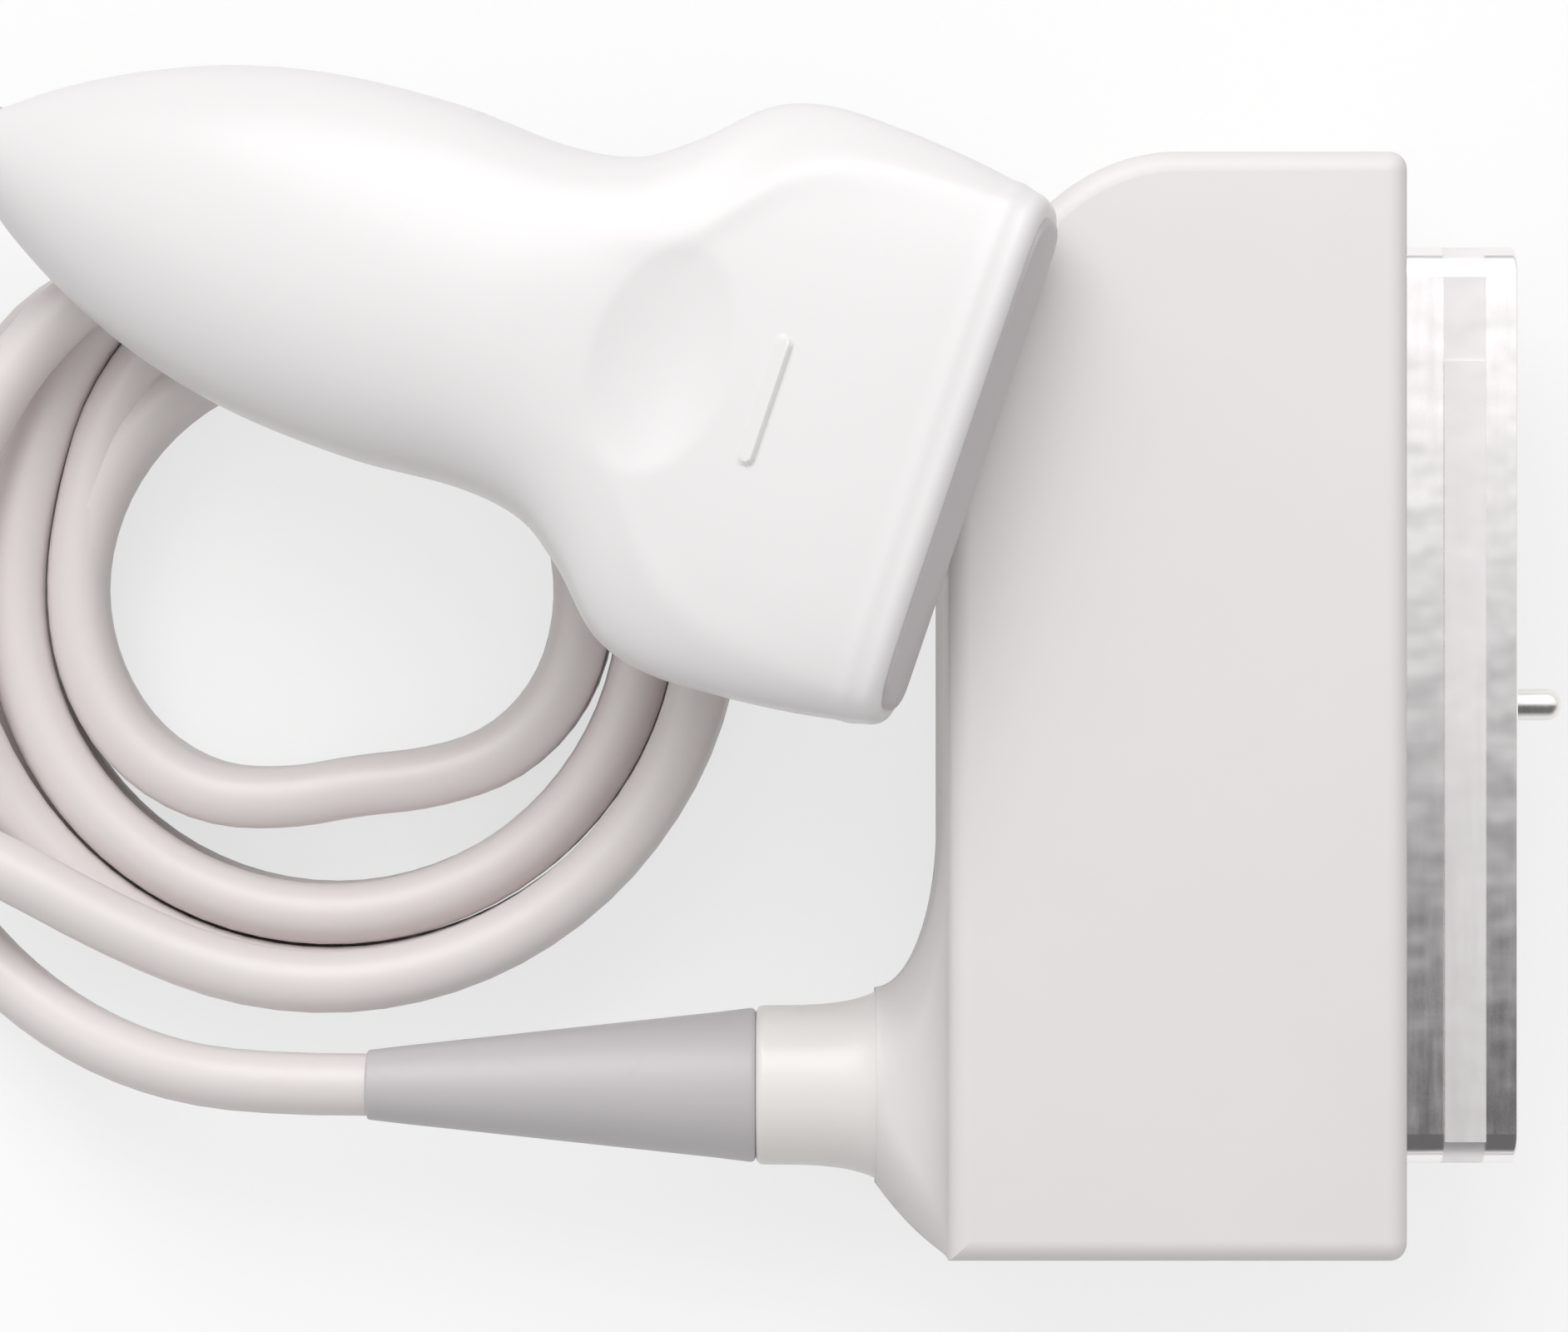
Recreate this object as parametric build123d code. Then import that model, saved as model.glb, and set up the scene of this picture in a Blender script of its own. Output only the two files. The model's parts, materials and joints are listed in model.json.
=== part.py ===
from build123d import *
import math
import os

# Linear ultrasound transducer with its cable and connector, in millimetres.
# The connector housing lies on its broad back face, with the origin at the centre of that face.
# +X runs out of the connector's mouth, +Y up along its long side and +Z up from the surface.
# The handle lies on the coiled cable, with its nose propped on the housing.

# Connector housing
HOUSING_WIDTH = 42.2
HOUSING_LENGTH = 102.0
HOUSING_THICK = 38.0
HOUSING_WALL = 2.4
HOUSING_EDGE = 2.0
CORNER_RADIUS = 1.6
SHOULDER_DROP = 28.0
SHOULDER_WIDTH = 21.0
PARTING_GAP = 0.05

# Cable boss, collar and strain relief on the housing
BOSS_FROM_END = 14.6
BOSS_RADIUS = 9.3
BOSS_LENGTH = 6.4
BOSS_FLARE_UP = 16.5
BOSS_FLARE_DOWN = 4.6
BOSS_FLARE_SIDE = 7.2
COLLAR_LENGTH = 11.4
COLLAR_RADIUS = 7.6
RELIEF_LENGTH = 37.2
RELIEF_ROOT_RADIUS = 7.35
RELIEF_TIP_RADIUS = 3.35

# Metal shroud and its contacts
SHROUD_INSET = 7.8
SHROUD_THICK = 18.0
SHROUD_OUT = 11.6
SHROUD_WALL = 1.0
SHROUD_CORNER = 3.0
SHROUD_RIM = 0.4
FLANGE_THICK = 1.6
FLANGE_LIP = 4.0
BAND_WIDTH = 3.9
BAND_TOP_INSET = 10.9
BAND_LOW_INSET = 2.3
BAND_PROUD = 0.5
BAND_FROM_HOUSING = 4.6
INSERT_RECESS = 6.0
INSERT_BACK = 3.4
CHANNEL_START = 4.6
CHANNEL_END_LAND = 3.6
CHANNEL_WIDE = 3.6
CHANNEL_PITCH = 6.4
CHANNEL_DEPTH = 2.6
CONTACT_END_LAND = 1.3
CONTACT_PITCH = 1.9
CONTACT_ROW_PITCH = 1.9
CONTACT_WIDE = 0.7
CONTACT_THICK = 0.5
CONTACT_HEIGHT = 2.0
GUIDE_PIN_RADIUS = 1.5
GUIDE_PIN_PROUD = 5.5
GUIDE_PIN_SHANK_RADIUS = 2.0
GUIDE_PIN_ROUND = 1.35
GUIDE_PIN_HEAD_RADIUS = 3.0
GUIDE_PIN_HEAD = 2.0

# Board inside the housing
BOARD_WIDTH = 20.0
BOARD_TOP_GAP = 14.0
BOARD_LOW_GAP = 30.0
BOARD_THICK = 1.6
CHIP_SIZE = 8.0
CHIP_THICK = 1.4
CHIP_COUNT = 4
CHIP_MARGIN = 9.0
STANDOFF_RADIUS = 2.4
STANDOFF_INSET = 3.4
EDGE_CONNECTOR_THICK = 6.0
EDGE_CONNECTOR_START = 5.0
EDGE_CONNECTOR_LENGTH = 15.0
HEADER_LENGTH = 14.0
HEADER_DEPTH = 5.0
HEADER_THICK = 6.4
BUNDLE_RADIUS = 2.5

# Fasteners
SCREW_RADIUS = 1.4
SCREW_HEAD_RADIUS = 2.6
SCREW_HEAD = 1.8
SCREW_BOSS_RADIUS = 3.2
SCREW_SINK = 3.0
SCREW_INSET = 10.0
SCREW_LEFT_GAP = 1.4
SCREW_END_GAP = 0.5
SCREW_SHOULDER_RISE = 4.0
SCREW_LOW_SHIFT = 6.2
SCREW_BITE = 9.0
SCREW_CLEARANCE = 0.15
FLANGE_SCREW_RADIUS = 1.0
FLANGE_SCREW_HEAD_RADIUS = 1.7
FLANGE_SCREW_HEAD = 1.2
RIB_WIDE = 1.6
RIB_CLEAR = 0.3
EAR_INSET = 3.0

# Cable and the clamps that hold it
CABLE_DIAMETER = 6.0
CLAMP_LENGTH = 7.0
CLAMP_WALL = 2.6
CLAMP_SCREW_SPACING = 12.0
CLAMP_SCREW_LAND = 2.6
CLAMP_SCREW_LENGTH = 6.0
CLAMP_OPEN = 0.6
CLAMP_ROUND = 1.0
JACKET_PAST_CLAMP = 1.5
COLLAR_ROUND = 0.8
COLLAR_STEP = 0.4
COLLAR_SLOPE = 0.5
SPIGOT_LENGTH = 4.0

# Handle: (distance behind the nose rim, half width, half thickness, fullness of the section)
HANDLE_STATIONS = (
    (0.0, 25.0, 6.9, 0.97),
    (7.0, 26.2, 7.3, 0.97),
    (14.0, 26.9, 7.6, 0.97),
    (21.0, 27.0, 8.0, 0.95),
    (26.0, 25.4, 8.5, 0.90),
    (31.0, 20.9, 9.2, 0.82),
    (36.0, 17.6, 10.0, 0.75),
    (43.0, 16.5, 10.9, 0.69),
    (54.0, 17.1, 11.5, 0.66),
    (66.0, 16.5, 11.2, 0.63),
    (76.0, 14.5, 10.2, 0.61),
    (85.0, 11.2, 8.4, 0.58),
    (92.0, 7.6, 6.2, 0.56),
    (97.0, 4.2, 4.2, 0.55),
)
SECTION_SPACING = 4.5
HANDLE_WALL = 1.8
LENS_PROUD = 2.1
LENS_EDGE = 0.4
LENS_PLUG = 2.6
LENS_FIT = 0.1
RIM_LIP = 0.3
DISH_BEHIND_NOSE = 27.6
DISH_LENGTH = 14.5
DISH_WIDTH = 20.5
DISH_DEPTH = 0.9
DISH_TILT = 7.0
RIDGE_BEHIND_NOSE = 16.8
RIDGE_LENGTH = 12.0
RIDGE_WIDTH = 1.7
RIDGE_PROUD = 0.7
RIDGE_ROUND = 0.4
DISH_REACH = 1.4
CAVITY_END = 90.5

# Array stack and circuits in the handle
STACK_LENGTH = 40.0
STACK_THICK = 7.0
MATCHING_DEPTH = 0.7
PIEZO_DEPTH = 0.6
BACKING_DEPTH = 7.0
CARRIER_WALL = 1.3
PIEZO_KERFS = 15
KERF_WIDE = 0.15
KERF_DEPTH = 0.3
FLEX_THICK = 0.3
HANDLE_BOARD_LENGTH = 34.0
HANDLE_BOARD_WIDTH = 24.0
HANDLE_BOARD_THICK = 1.2
HANDLE_BOARD_START = 22.0
PLUG_COUNT = 4
PLUG_LENGTH = 4.6
PLUG_WIDTH = 4.4
PLUG_THICK = 2.0
BOARD_RIB_WIDTH = 1.6
TAIL_RELIEF_LENGTH = 14.0
TAIL_RELIEF_ROOT_RADIUS = 4.0
TAIL_RELIEF_TIP_RADIUS = 3.35
FERRULE_LENGTH = 5.0
FERRULE_WALL = 0.6
FERRULE_BEHIND = -8.0
JACKET_PAST_FERRULE = 1.0
RIB_INSET = 4.0
RIB_REACH = 30.0
FAN_WIDTH = 18.0
FAN_THICK = 3.0

# Where the handle lies
NOSE_X = -20.9
NOSE_Y = 22.2
HANDLE_YAW = 18.65
NOSE_REST_BEHIND = 8.0
TAIL_REST_BEHIND = 78.0
REST_GAP = 0.1
NOSE_EDGE_DROP = 1.7

# Cable coil, whose shape is an off-centre ring
COIL_CENTRE = (-80.5, 10.5)
COIL_RADIUS = 41.0
COIL_HOLE_CENTRE = (-79.0, 12.5)
COIL_HOLE_RADIUS = 24.0
COIL_HEIGHT = 18.6
COIL_EDGE = 2.9

# Free runs of the cable: a first run straight out of each strain relief, then these corners
FIRST_RUN = 11.0
ARC_SHARE = 0.45
HANDLE_RUN = (
    (-145.9, 62.2, 16.4),
    (-158.2, 60.4, 13.0),
    (-169.0, 54.6, 10.0),
    (-176.8, 45.0, 7.2),
    (-180.2, 33.0, 5.0),
    (-179.0, 20.6, 3.6),
    (-173.2, 9.6, 3.2),
    (-163.8, 1.4, 4.6),
    (-152.0, -3.2, 8.4),
    (-139.2, -6.0, 12.4),
    (-126.4, -9.8, 13.8),
    (-114.4, -15.0, 13.6),
    (-103.2, -21.4, 13.2),
)
CONNECTOR_RUN = (
    (-97.4, -34.8, 16.2),
    (-107.0, -30.8, 12.0),
    (-115.6, -24.2, 8.0),
    (-122.2, -15.2, 4.8),
    (-125.8, -4.6, 3.4),
    (-125.6, 7.0, 3.1),
    (-121.4, 17.6, 3.1),
    (-113.8, 26.0, 3.1),
)

FIT = 0.05

# Longer than any piece, for tools that cut right through
REACH = 200.0


def board_bottom():
    """Height of the connector board's lower face: the board lies in the middle of the housing."""
    return (HOUSING_THICK - BOARD_THICK) / 2


def middle_height():
    return HOUSING_THICK / 2


def boss_y():
    """Y of the cable's axis where it enters the housing."""
    return BOSS_FROM_END - HOUSING_LENGTH / 2


def shroud_length():
    return HOUSING_LENGTH - 2 * SHROUD_INSET


def board_low_y():
    return BOARD_LOW_GAP - HOUSING_LENGTH / 2


def board_high_y():
    return HOUSING_LENGTH / 2 - BOARD_TOP_GAP


def mouth_x():
    """X of the housing's open face."""
    return HOUSING_WIDTH / 2


def cylinder_x(radius, start, end, y, z):
    """A cylinder along X between two X values."""
    place = Plane(origin=(start, y, z), x_dir=(0, 1, 0), z_dir=(1, 0, 0))
    return extrude(place * Circle(radius), amount=end - start)


def cylinder_z(radius, bottom, top, x, y):
    return extrude(Plane.XY.offset(bottom) * Pos(x, y) * Circle(radius), amount=top - bottom)


def block(low, high):
    """A box from its lowest to its highest corner."""
    size = [b - a for a, b in zip(low, high)]
    middle = [(a + b) / 2 for a, b in zip(low, high)]
    return Pos(*middle) * Box(*size)


def housing_outline(inset):
    """Plan of the housing, with the broad elliptical shoulder at its upper left."""
    left, right = -HOUSING_WIDTH / 2 + inset, HOUSING_WIDTH / 2 - inset
    low, high = -HOUSING_LENGTH / 2 + inset, HOUSING_LENGTH / 2 - inset
    wide, drop = SHOULDER_WIDTH - inset, SHOULDER_DROP - inset
    shoulder = EllipticalCenterArc((left + wide, high - drop), wide, drop, 90, arc_size=90)
    edges = [
        shoulder,
        Line((left, high - drop), (left, low)),
        Line((left, low), (right, low)),
        Line((right, low), (right, high)),
        Line((right, high), (left + wide, high)),
    ]
    return make_face(Wire(edges))


def housing_block(inset):
    """The housing without its boss, with all its outer edges rounded."""
    bottom, height = inset, HOUSING_THICK - 2 * inset
    solid = extrude(Plane.XY.offset(bottom) * housing_outline(inset), amount=height)
    corners = solid.edges().filter_by(Axis.Z).sort_by(Axis.X)
    radius = max(CORNER_RADIUS - inset, 0.4)
    solid = fillet(corners[-2:] + corners[:1], radius)
    if inset == 0:
        rims = solid.faces().sort_by(Axis.Z)
        solid = fillet(rims[0].edges() + rims[-1].edges(), HOUSING_EDGE)
    return solid


def boss_section(share, inset):
    """Rounded outline of the cable boss at a share of the way from the housing to its tip."""
    flare = 1 - math.sqrt(1 - (1 - share) ** 2)
    side = BOSS_RADIUS + BOSS_FLARE_SIDE * flare - inset
    up = BOSS_RADIUS + BOSS_FLARE_UP * flare - inset
    down = BOSS_RADIUS + BOSS_FLARE_DOWN * (1 - share) - inset
    x = -HOUSING_WIDTH / 2 - BOSS_LENGTH * share
    place = Plane(
        origin=(x, boss_y() + (up - down) / 2, middle_height()), x_dir=(0, 1, 0), z_dir=(-1, 0, 0)
    )
    radius = (BOSS_RADIUS - inset) * 0.97
    return place * RectangleRounded(up + down, 2 * side, radius)


def boss_block(inset):
    """The flared boss: rounded sections that shrink along a quarter ellipse to a round tip."""
    shares = (0.0, 0.08, 0.25, 0.55, 1.0)
    flared = loft([boss_section(share, inset) for share in shares])
    root = boss_section(0.0, inset)
    return flared + extrude(root, amount=-HOUSING_WALL - 1)


def housing_cavity():
    """Inside of the housing, open at the mouth and through the boss."""
    cavity = housing_block(HOUSING_WALL)
    depth = mouth_x() - HOUSING_WALL - 1
    half_long = shroud_length() / 2 + FLANGE_LIP
    half_thick = SHROUD_THICK / 2 + FLANGE_LIP
    mouth = block(
        (depth, -half_long, middle_height() - half_thick),
        (mouth_x() + 1, half_long, middle_height() + half_thick),
    )
    bore_start = -HOUSING_WIDTH / 2 - BOSS_LENGTH - 1
    bore = cylinder_x(
        CABLE_DIAMETER / 2 + CLAMP_WALL, bore_start, -HOUSING_WIDTH / 2 + 4, boss_y(), middle_height()
    )
    return cavity + mouth + bore


def screw_places():
    """Plan positions of the four housing screws, inside the cavity and clear of the board."""
    x_right = HOUSING_WIDTH / 2 - HOUSING_WALL - SCREW_INSET
    x_left = -HOUSING_WIDTH / 2 + HOUSING_WALL + SCREW_BOSS_RADIUS + SCREW_LEFT_GAP
    y_end = HOUSING_LENGTH / 2 - HOUSING_WALL - SCREW_BOSS_RADIUS - SCREW_END_GAP
    y_shoulder = HOUSING_LENGTH / 2 - SHOULDER_DROP + SCREW_SHOULDER_RISE
    x_low = x_left + SCREW_LOW_SHIFT
    return ((x_right, y_end), (x_right, -y_end), (x_low, -y_end), (x_left, y_shoulder))


def flange_x():
    """X of the flange's front face, which seats on the inside of the mouth wall."""
    return mouth_x() - HOUSING_WALL


def insert_back_x():
    return flange_x() - FLANGE_THICK - INSERT_BACK


def shroud_front_x():
    return mouth_x() + SHROUD_OUT


def shroud_outline(grow):
    """Rounded outline of the shroud across the mouth, grown outwards by an amount."""
    place = Plane(origin=(0, 0, middle_height()), x_dir=(0, 1, 0), z_dir=(1, 0, 0))
    return place * RectangleRounded(
        shroud_length() + 2 * grow, SHROUD_THICK + 2 * grow, SHROUD_CORNER + grow
    )


def shroud_prism(grow, start, end):
    return extrude(Pos(start, 0, 0) * shroud_outline(grow), amount=end - start)


def flange_ribs(low, high):
    """Ribs on one half of the housing that trap the flange's ends against the mouth wall."""
    back = flange_x() - FLANGE_THICK - FIT
    near, far = shroud_length() / 2 + RIB_CLEAR, HOUSING_LENGTH / 2 - HOUSING_WALL / 2
    ribs = [
        block((back - RIB_WIDE, min(side * near, side * far), low),
              (back, max(side * near, side * far), high))
        for side in (-1, 1)
    ]
    return ribs[0] + ribs[1]


def clamp_seat():
    """Pedestal in the back half that carries the cable jacket under its clamp."""
    x = clamp_start_x()
    wide = CLAMP_SCREW_SPACING / 2 + CLAMP_SCREW_LAND
    low = (x, boss_y() - wide, HOUSING_WALL / 2)
    seat = block(low, (x + CLAMP_LENGTH, boss_y() + wide, middle_height() - PARTING_GAP))
    return seat - jacket_bore(x - 1, x + CLAMP_LENGTH + 1) - clamp_screw_holes()


def jacket_bore(start, end):
    """Room for the cable's jacket on the boss's axis, between two X values."""
    return cylinder_x(CABLE_DIAMETER / 2 + FIT, start, end, boss_y(), middle_height())


def clamp_start_x():
    return -HOUSING_WIDTH / 2 + HOUSING_WALL


def clamp_screw_places():
    x = clamp_start_x() + CLAMP_LENGTH / 2
    return [(x, boss_y() + side * CLAMP_SCREW_SPACING / 2) for side in (-1, 1)]


def clamp_screw_holes():
    bottom = middle_height() - CLAMP_SCREW_LENGTH
    holes = [
        cylinder_z(FLANGE_SCREW_RADIUS + FIT, bottom, HOUSING_THICK, x, y)
        for x, y in clamp_screw_places()
    ]
    return holes[0] + holes[1]


def housing_shell():
    """The whole hollow housing with its mouth, before it is parted."""
    shell = housing_block(0) + boss_block(0) - housing_cavity()
    return shell - shroud_prism(FIT, flange_x() - 1, mouth_x() + 1)


def housing_back():
    """The half that rests on the table, with its screw posts, clamp seat and ribs."""
    cut = block((-REACH, -REACH, -1), (REACH, REACH, middle_height() - PARTING_GAP))
    half = housing_shell() & cut
    for x, y in screw_places():
        half += cylinder_z(SCREW_BOSS_RADIUS, HOUSING_WALL / 2, middle_height() - PARTING_GAP, x, y)
    half += clamp_seat()
    half += flange_ribs(HOUSING_WALL / 2, middle_height() - PARTING_GAP)
    for x, y in screw_places():
        half -= cylinder_z(SCREW_HEAD_RADIUS + SCREW_CLEARANCE, -1, SCREW_SINK + SCREW_HEAD, x, y)
        half -= cylinder_z(SCREW_RADIUS + SCREW_CLEARANCE, -1, HOUSING_THICK, x, y)
    return half


def flange_half_thick():
    return SHROUD_THICK / 2 + FLANGE_LIP


def housing_front():
    """The upper half, with blind posts that the screws bite into."""
    cut = block((-REACH, -REACH, middle_height()), (REACH, REACH, HOUSING_THICK + 1))
    half = housing_shell() & cut
    for x, y in screw_places():
        post_top = HOUSING_THICK - HOUSING_WALL / 2
        half += cylinder_z(SCREW_BOSS_RADIUS, middle_height(), post_top, x, y)
    half += flange_ribs(middle_height(), HOUSING_THICK - HOUSING_WALL / 2)
    for x, y in screw_places():
        half -= cylinder_z(SCREW_RADIUS + FIT, 0, middle_height() + SCREW_BITE, x, y)
    return half


def screw_z(radius, head_radius, head, under_head, tip, x, y):
    """A screw along Z: a shank from under its head to its tip, and a head on the other side."""
    away = head if under_head > tip else -head
    shank = cylinder_z(radius, min(under_head, tip), max(under_head, tip), x, y)
    low, high = sorted((under_head, under_head + away))
    return shank + cylinder_z(head_radius, low, high, x, y)


def housing_screws():
    tip = middle_height() + SCREW_BITE - FIT
    top = SCREW_SINK + SCREW_HEAD
    return [
        screw_z(SCREW_RADIUS, SCREW_HEAD_RADIUS, SCREW_HEAD, top, tip, x, y)
        for x, y in screw_places()
    ]


def connector_shell():
    """The plated shroud with its flange and the raised band on both broad faces."""
    half_long = shroud_length() / 2 + FLANGE_LIP
    flange = block(
        (flange_x() - FLANGE_THICK, -half_long, middle_height() - flange_half_thick()),
        (flange_x(), half_long, middle_height() + flange_half_thick()),
    )
    shell = flange + shroud_prism(0, flange_x(), shroud_front_x())
    rim = shell.faces().sort_by(Axis.X)[-1]
    shell = fillet(rim.edges(), SHROUD_RIM)
    start = mouth_x() + BAND_FROM_HOUSING
    half_shroud, reach = shroud_length() / 2, SHROUD_THICK / 2 + BAND_PROUD
    shell += block(
        (start, BAND_LOW_INSET - half_shroud, middle_height() - reach),
        (start + BAND_WIDTH, half_shroud - BAND_TOP_INSET, middle_height() + reach),
    )
    shell -= shroud_prism(-SHROUD_WALL, flange_x() - FLANGE_THICK - 1, shroud_front_x() + 1)
    for y, z in shell_screw_places():
        shell -= cylinder_x(FLANGE_SCREW_RADIUS + FIT, insert_back_x(), flange_x() + 1, y, z)
    return shell


def shell_screw_places():
    """Four screws beside the insert's ends, through its ears and the flange."""
    y = shroud_length() / 2 - EAR_INSET
    z = flange_half_thick() - FLANGE_LIP / 2
    return [(side * y, middle_height() + up * z) for side in (-1, 1) for up in (-1, 1)]


def contact_insert():
    """The moulded insulator: a body inside the shroud with two long channels, and a back plate."""
    front = insert_front_x()
    body = shroud_prism(-SHROUD_WALL - FIT, insert_back_x(), front)
    ears = block(
        (insert_back_x(), -shroud_length() / 2, middle_height() - flange_half_thick()),
        (flange_x() - FLANGE_THICK, shroud_length() / 2, middle_height() + flange_half_thick()),
    )
    insert = body + ears
    for side in (-1, 1):
        for up in (-1, 1):
            insert -= channel(side, up)
    for y, z in shell_screw_places():
        insert -= cylinder_x(FLANGE_SCREW_RADIUS + FIT, insert_back_x() - 1, flange_x(), y, z)
    bore_radius = GUIDE_PIN_SHANK_RADIUS + FIT
    return insert - cylinder_x(bore_radius, insert_back_x() - 1, front + 1, 0, middle_height())


def insert_front_x():
    return shroud_front_x() - INSERT_RECESS


def channel_floor_x():
    return insert_front_x() - CHANNEL_DEPTH


def channel_length():
    return shroud_length() / 2 - CHANNEL_START - CHANNEL_END_LAND


def channel(side, up):
    """One long channel in the insert's front face, on one side of the guide pin."""
    y_near, y_far = sorted((side * CHANNEL_START, side * (CHANNEL_START + channel_length())))
    z = middle_height() + up * CHANNEL_PITCH / 2
    return block(
        (channel_floor_x(), y_near, z - CHANNEL_WIDE / 2),
        (shroud_front_x(), y_far, z + CHANNEL_WIDE / 2),
    )


def contacts():
    """Contact blades in rows on the floors of the four channels."""
    per_row = int((channel_length() - 2 * CONTACT_END_LAND) / CONTACT_PITCH) + 1
    first = CHANNEL_START + channel_length() / 2 - (per_row - 1) * CONTACT_PITCH / 2
    blades = []
    for side in (-1, 1):
        for row in (-1, 1):
            for edge in (-1, 1):
                z = middle_height() + row * CHANNEL_PITCH / 2 + edge * CONTACT_ROW_PITCH / 2
                for count in range(per_row):
                    y = side * (first + count * CONTACT_PITCH)
                    low = (channel_floor_x(), y - CONTACT_WIDE / 2, z - CONTACT_THICK / 2)
                    high = (
                        channel_floor_x() + CONTACT_HEIGHT,
                        y + CONTACT_WIDE / 2,
                        z + CONTACT_THICK / 2,
                    )
                    blades.append(block(low, high))
    return blades


def guide_pin():
    """Steel pin with a round nose, a thicker shank in the insert and a head behind it."""
    back, front, z = insert_back_x(), insert_front_x(), middle_height()
    free = cylinder_x(GUIDE_PIN_RADIUS, front, shroud_front_x() + GUIDE_PIN_PROUD, 0, z)
    free = fillet(free.faces().sort_by(Axis.X)[-1].edges(), GUIDE_PIN_ROUND)
    shank = cylinder_x(GUIDE_PIN_SHANK_RADIUS, back, front, 0, z)
    head = cylinder_x(GUIDE_PIN_HEAD_RADIUS, back - GUIDE_PIN_HEAD, back, 0, z)
    return free + shank + head


def shell_screws():
    """Screws from inside through the insert's ears, flush with the flange's front face."""
    screws = []
    for y, z in shell_screw_places():
        head_start = insert_back_x() - FLANGE_SCREW_HEAD
        head = cylinder_x(FLANGE_SCREW_HEAD_RADIUS, head_start, insert_back_x(), y, z)
        screws.append(head + cylinder_x(FLANGE_SCREW_RADIUS, insert_back_x(), flange_x(), y, z))
    return screws


def board_end_x():
    """X of the board's front edge, just behind the guide pin's head."""
    return insert_back_x() - GUIDE_PIN_HEAD - FIT


def connector_board():
    low = (board_end_x() - BOARD_WIDTH, board_low_y(), board_bottom())
    high = (board_end_x(), board_high_y(), board_bottom() + BOARD_THICK)
    return block(low, high)


def edge_connectors():
    """Two receptacles that join the board's front edge to the back of the insert."""
    half = EDGE_CONNECTOR_THICK / 2
    blocks = []
    for side in (-1, 1):
        near, far = EDGE_CONNECTOR_START, EDGE_CONNECTOR_START + EDGE_CONNECTOR_LENGTH
        y_low, y_high = sorted((side * near, side * far))
        body = block(
            (board_end_x(), y_low, middle_height() - half),
            (insert_back_x(), y_high, middle_height() + half),
        )
        blocks.append(body)
    return blocks


def board_chips():
    x = board_end_x() - BOARD_WIDTH / 2 - CHIP_SIZE / 2
    bottom = board_bottom() + BOARD_THICK
    span = board_high_y() - board_low_y() - 2 * CHIP_MARGIN
    chips = []
    for count in range(CHIP_COUNT):
        y = board_low_y() + CHIP_MARGIN + span * count / (CHIP_COUNT - 1) - CHIP_SIZE / 2
        chips.append(block((x, y, bottom), (x + CHIP_SIZE, y + CHIP_SIZE, bottom + CHIP_THICK)))
    return chips


def board_standoffs():
    posts = []
    for x in (board_end_x() - STANDOFF_INSET, board_end_x() - BOARD_WIDTH + STANDOFF_INSET):
        for y in (board_low_y() + STANDOFF_INSET, board_high_y() - STANDOFF_INSET):
            posts.append(cylinder_z(STANDOFF_RADIUS, HOUSING_WALL, board_bottom(), x, y))
    return posts


def header_low_y():
    return board_low_y() - HEADER_DEPTH


def header_x():
    return board_end_x() - BOARD_WIDTH / 2


def cable_header():
    """Plug on the lower edge of the board, where the wires end."""
    x, y, z = header_x(), header_low_y(), middle_height()
    return block(
        (x - HEADER_LENGTH / 2, y, z - HEADER_THICK / 2),
        (x + HEADER_LENGTH / 2, y + HEADER_DEPTH, z + HEADER_THICK / 2),
    )


def jacket_end_x():
    """X where the jacket is stripped, just past its clamp."""
    return clamp_start_x() + CLAMP_LENGTH + JACKET_PAST_CLAMP


def connector_wire_bundle():
    """The stripped wires: one bend from the jacket's end to the header."""
    z = middle_height()
    corner = (header_x(), boss_y(), z)
    reach = min(header_x() - jacket_end_x(), header_low_y() - boss_y())
    path = FilletPolyline(
        (jacket_end_x(), boss_y(), z), corner, (header_x(), header_low_y(), z), radius=reach * 0.8
    )
    ring = Plane(origin=(jacket_end_x(), boss_y(), z), z_dir=(1, 0, 0)) * Circle(BUNDLE_RADIUS)
    return sweep(ring, path=path)


def cable_clamp():
    """Bar with a half-round saddle that presses the jacket onto its seat."""
    x = clamp_start_x()
    wide = CLAMP_SCREW_SPACING / 2 + CLAMP_SCREW_LAND
    low = (x, boss_y() - wide, middle_height() + CLAMP_OPEN)
    top = middle_height() + CABLE_DIAMETER / 2 + CLAMP_WALL
    bar = block(low, (x + CLAMP_LENGTH, boss_y() + wide, top))
    bar = fillet(bar.edges().filter_by(Axis.X).sort_by(Axis.Z)[-2:], CLAMP_ROUND)
    return bar - jacket_bore(x - 1, x + CLAMP_LENGTH + 1) - clamp_screw_holes()


def clamp_screws():
    under = middle_height() + CABLE_DIAMETER / 2 + CLAMP_WALL
    tip = middle_height() - CLAMP_SCREW_LENGTH + FIT
    return [
        screw_z(FLANGE_SCREW_RADIUS, FLANGE_SCREW_HEAD_RADIUS, FLANGE_SCREW_HEAD, under, tip, x, y)
        for x, y in clamp_screw_places()
    ]


def boss_tip_x():
    return -HOUSING_WIDTH / 2 - BOSS_LENGTH


def relief_root_x():
    return boss_tip_x() - COLLAR_LENGTH


def relief_tip_x():
    return relief_root_x() - RELIEF_LENGTH


def turned_x(points):
    """A solid of revolution about the cable's axis, from (x, radius) points."""
    outline = Polyline(*[(x, boss_y() + r, middle_height()) for x, r in points], close=True)
    axis = Axis((0, boss_y(), middle_height()), (1, 0, 0))
    return revolve(make_face(outline), axis=axis)


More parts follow.
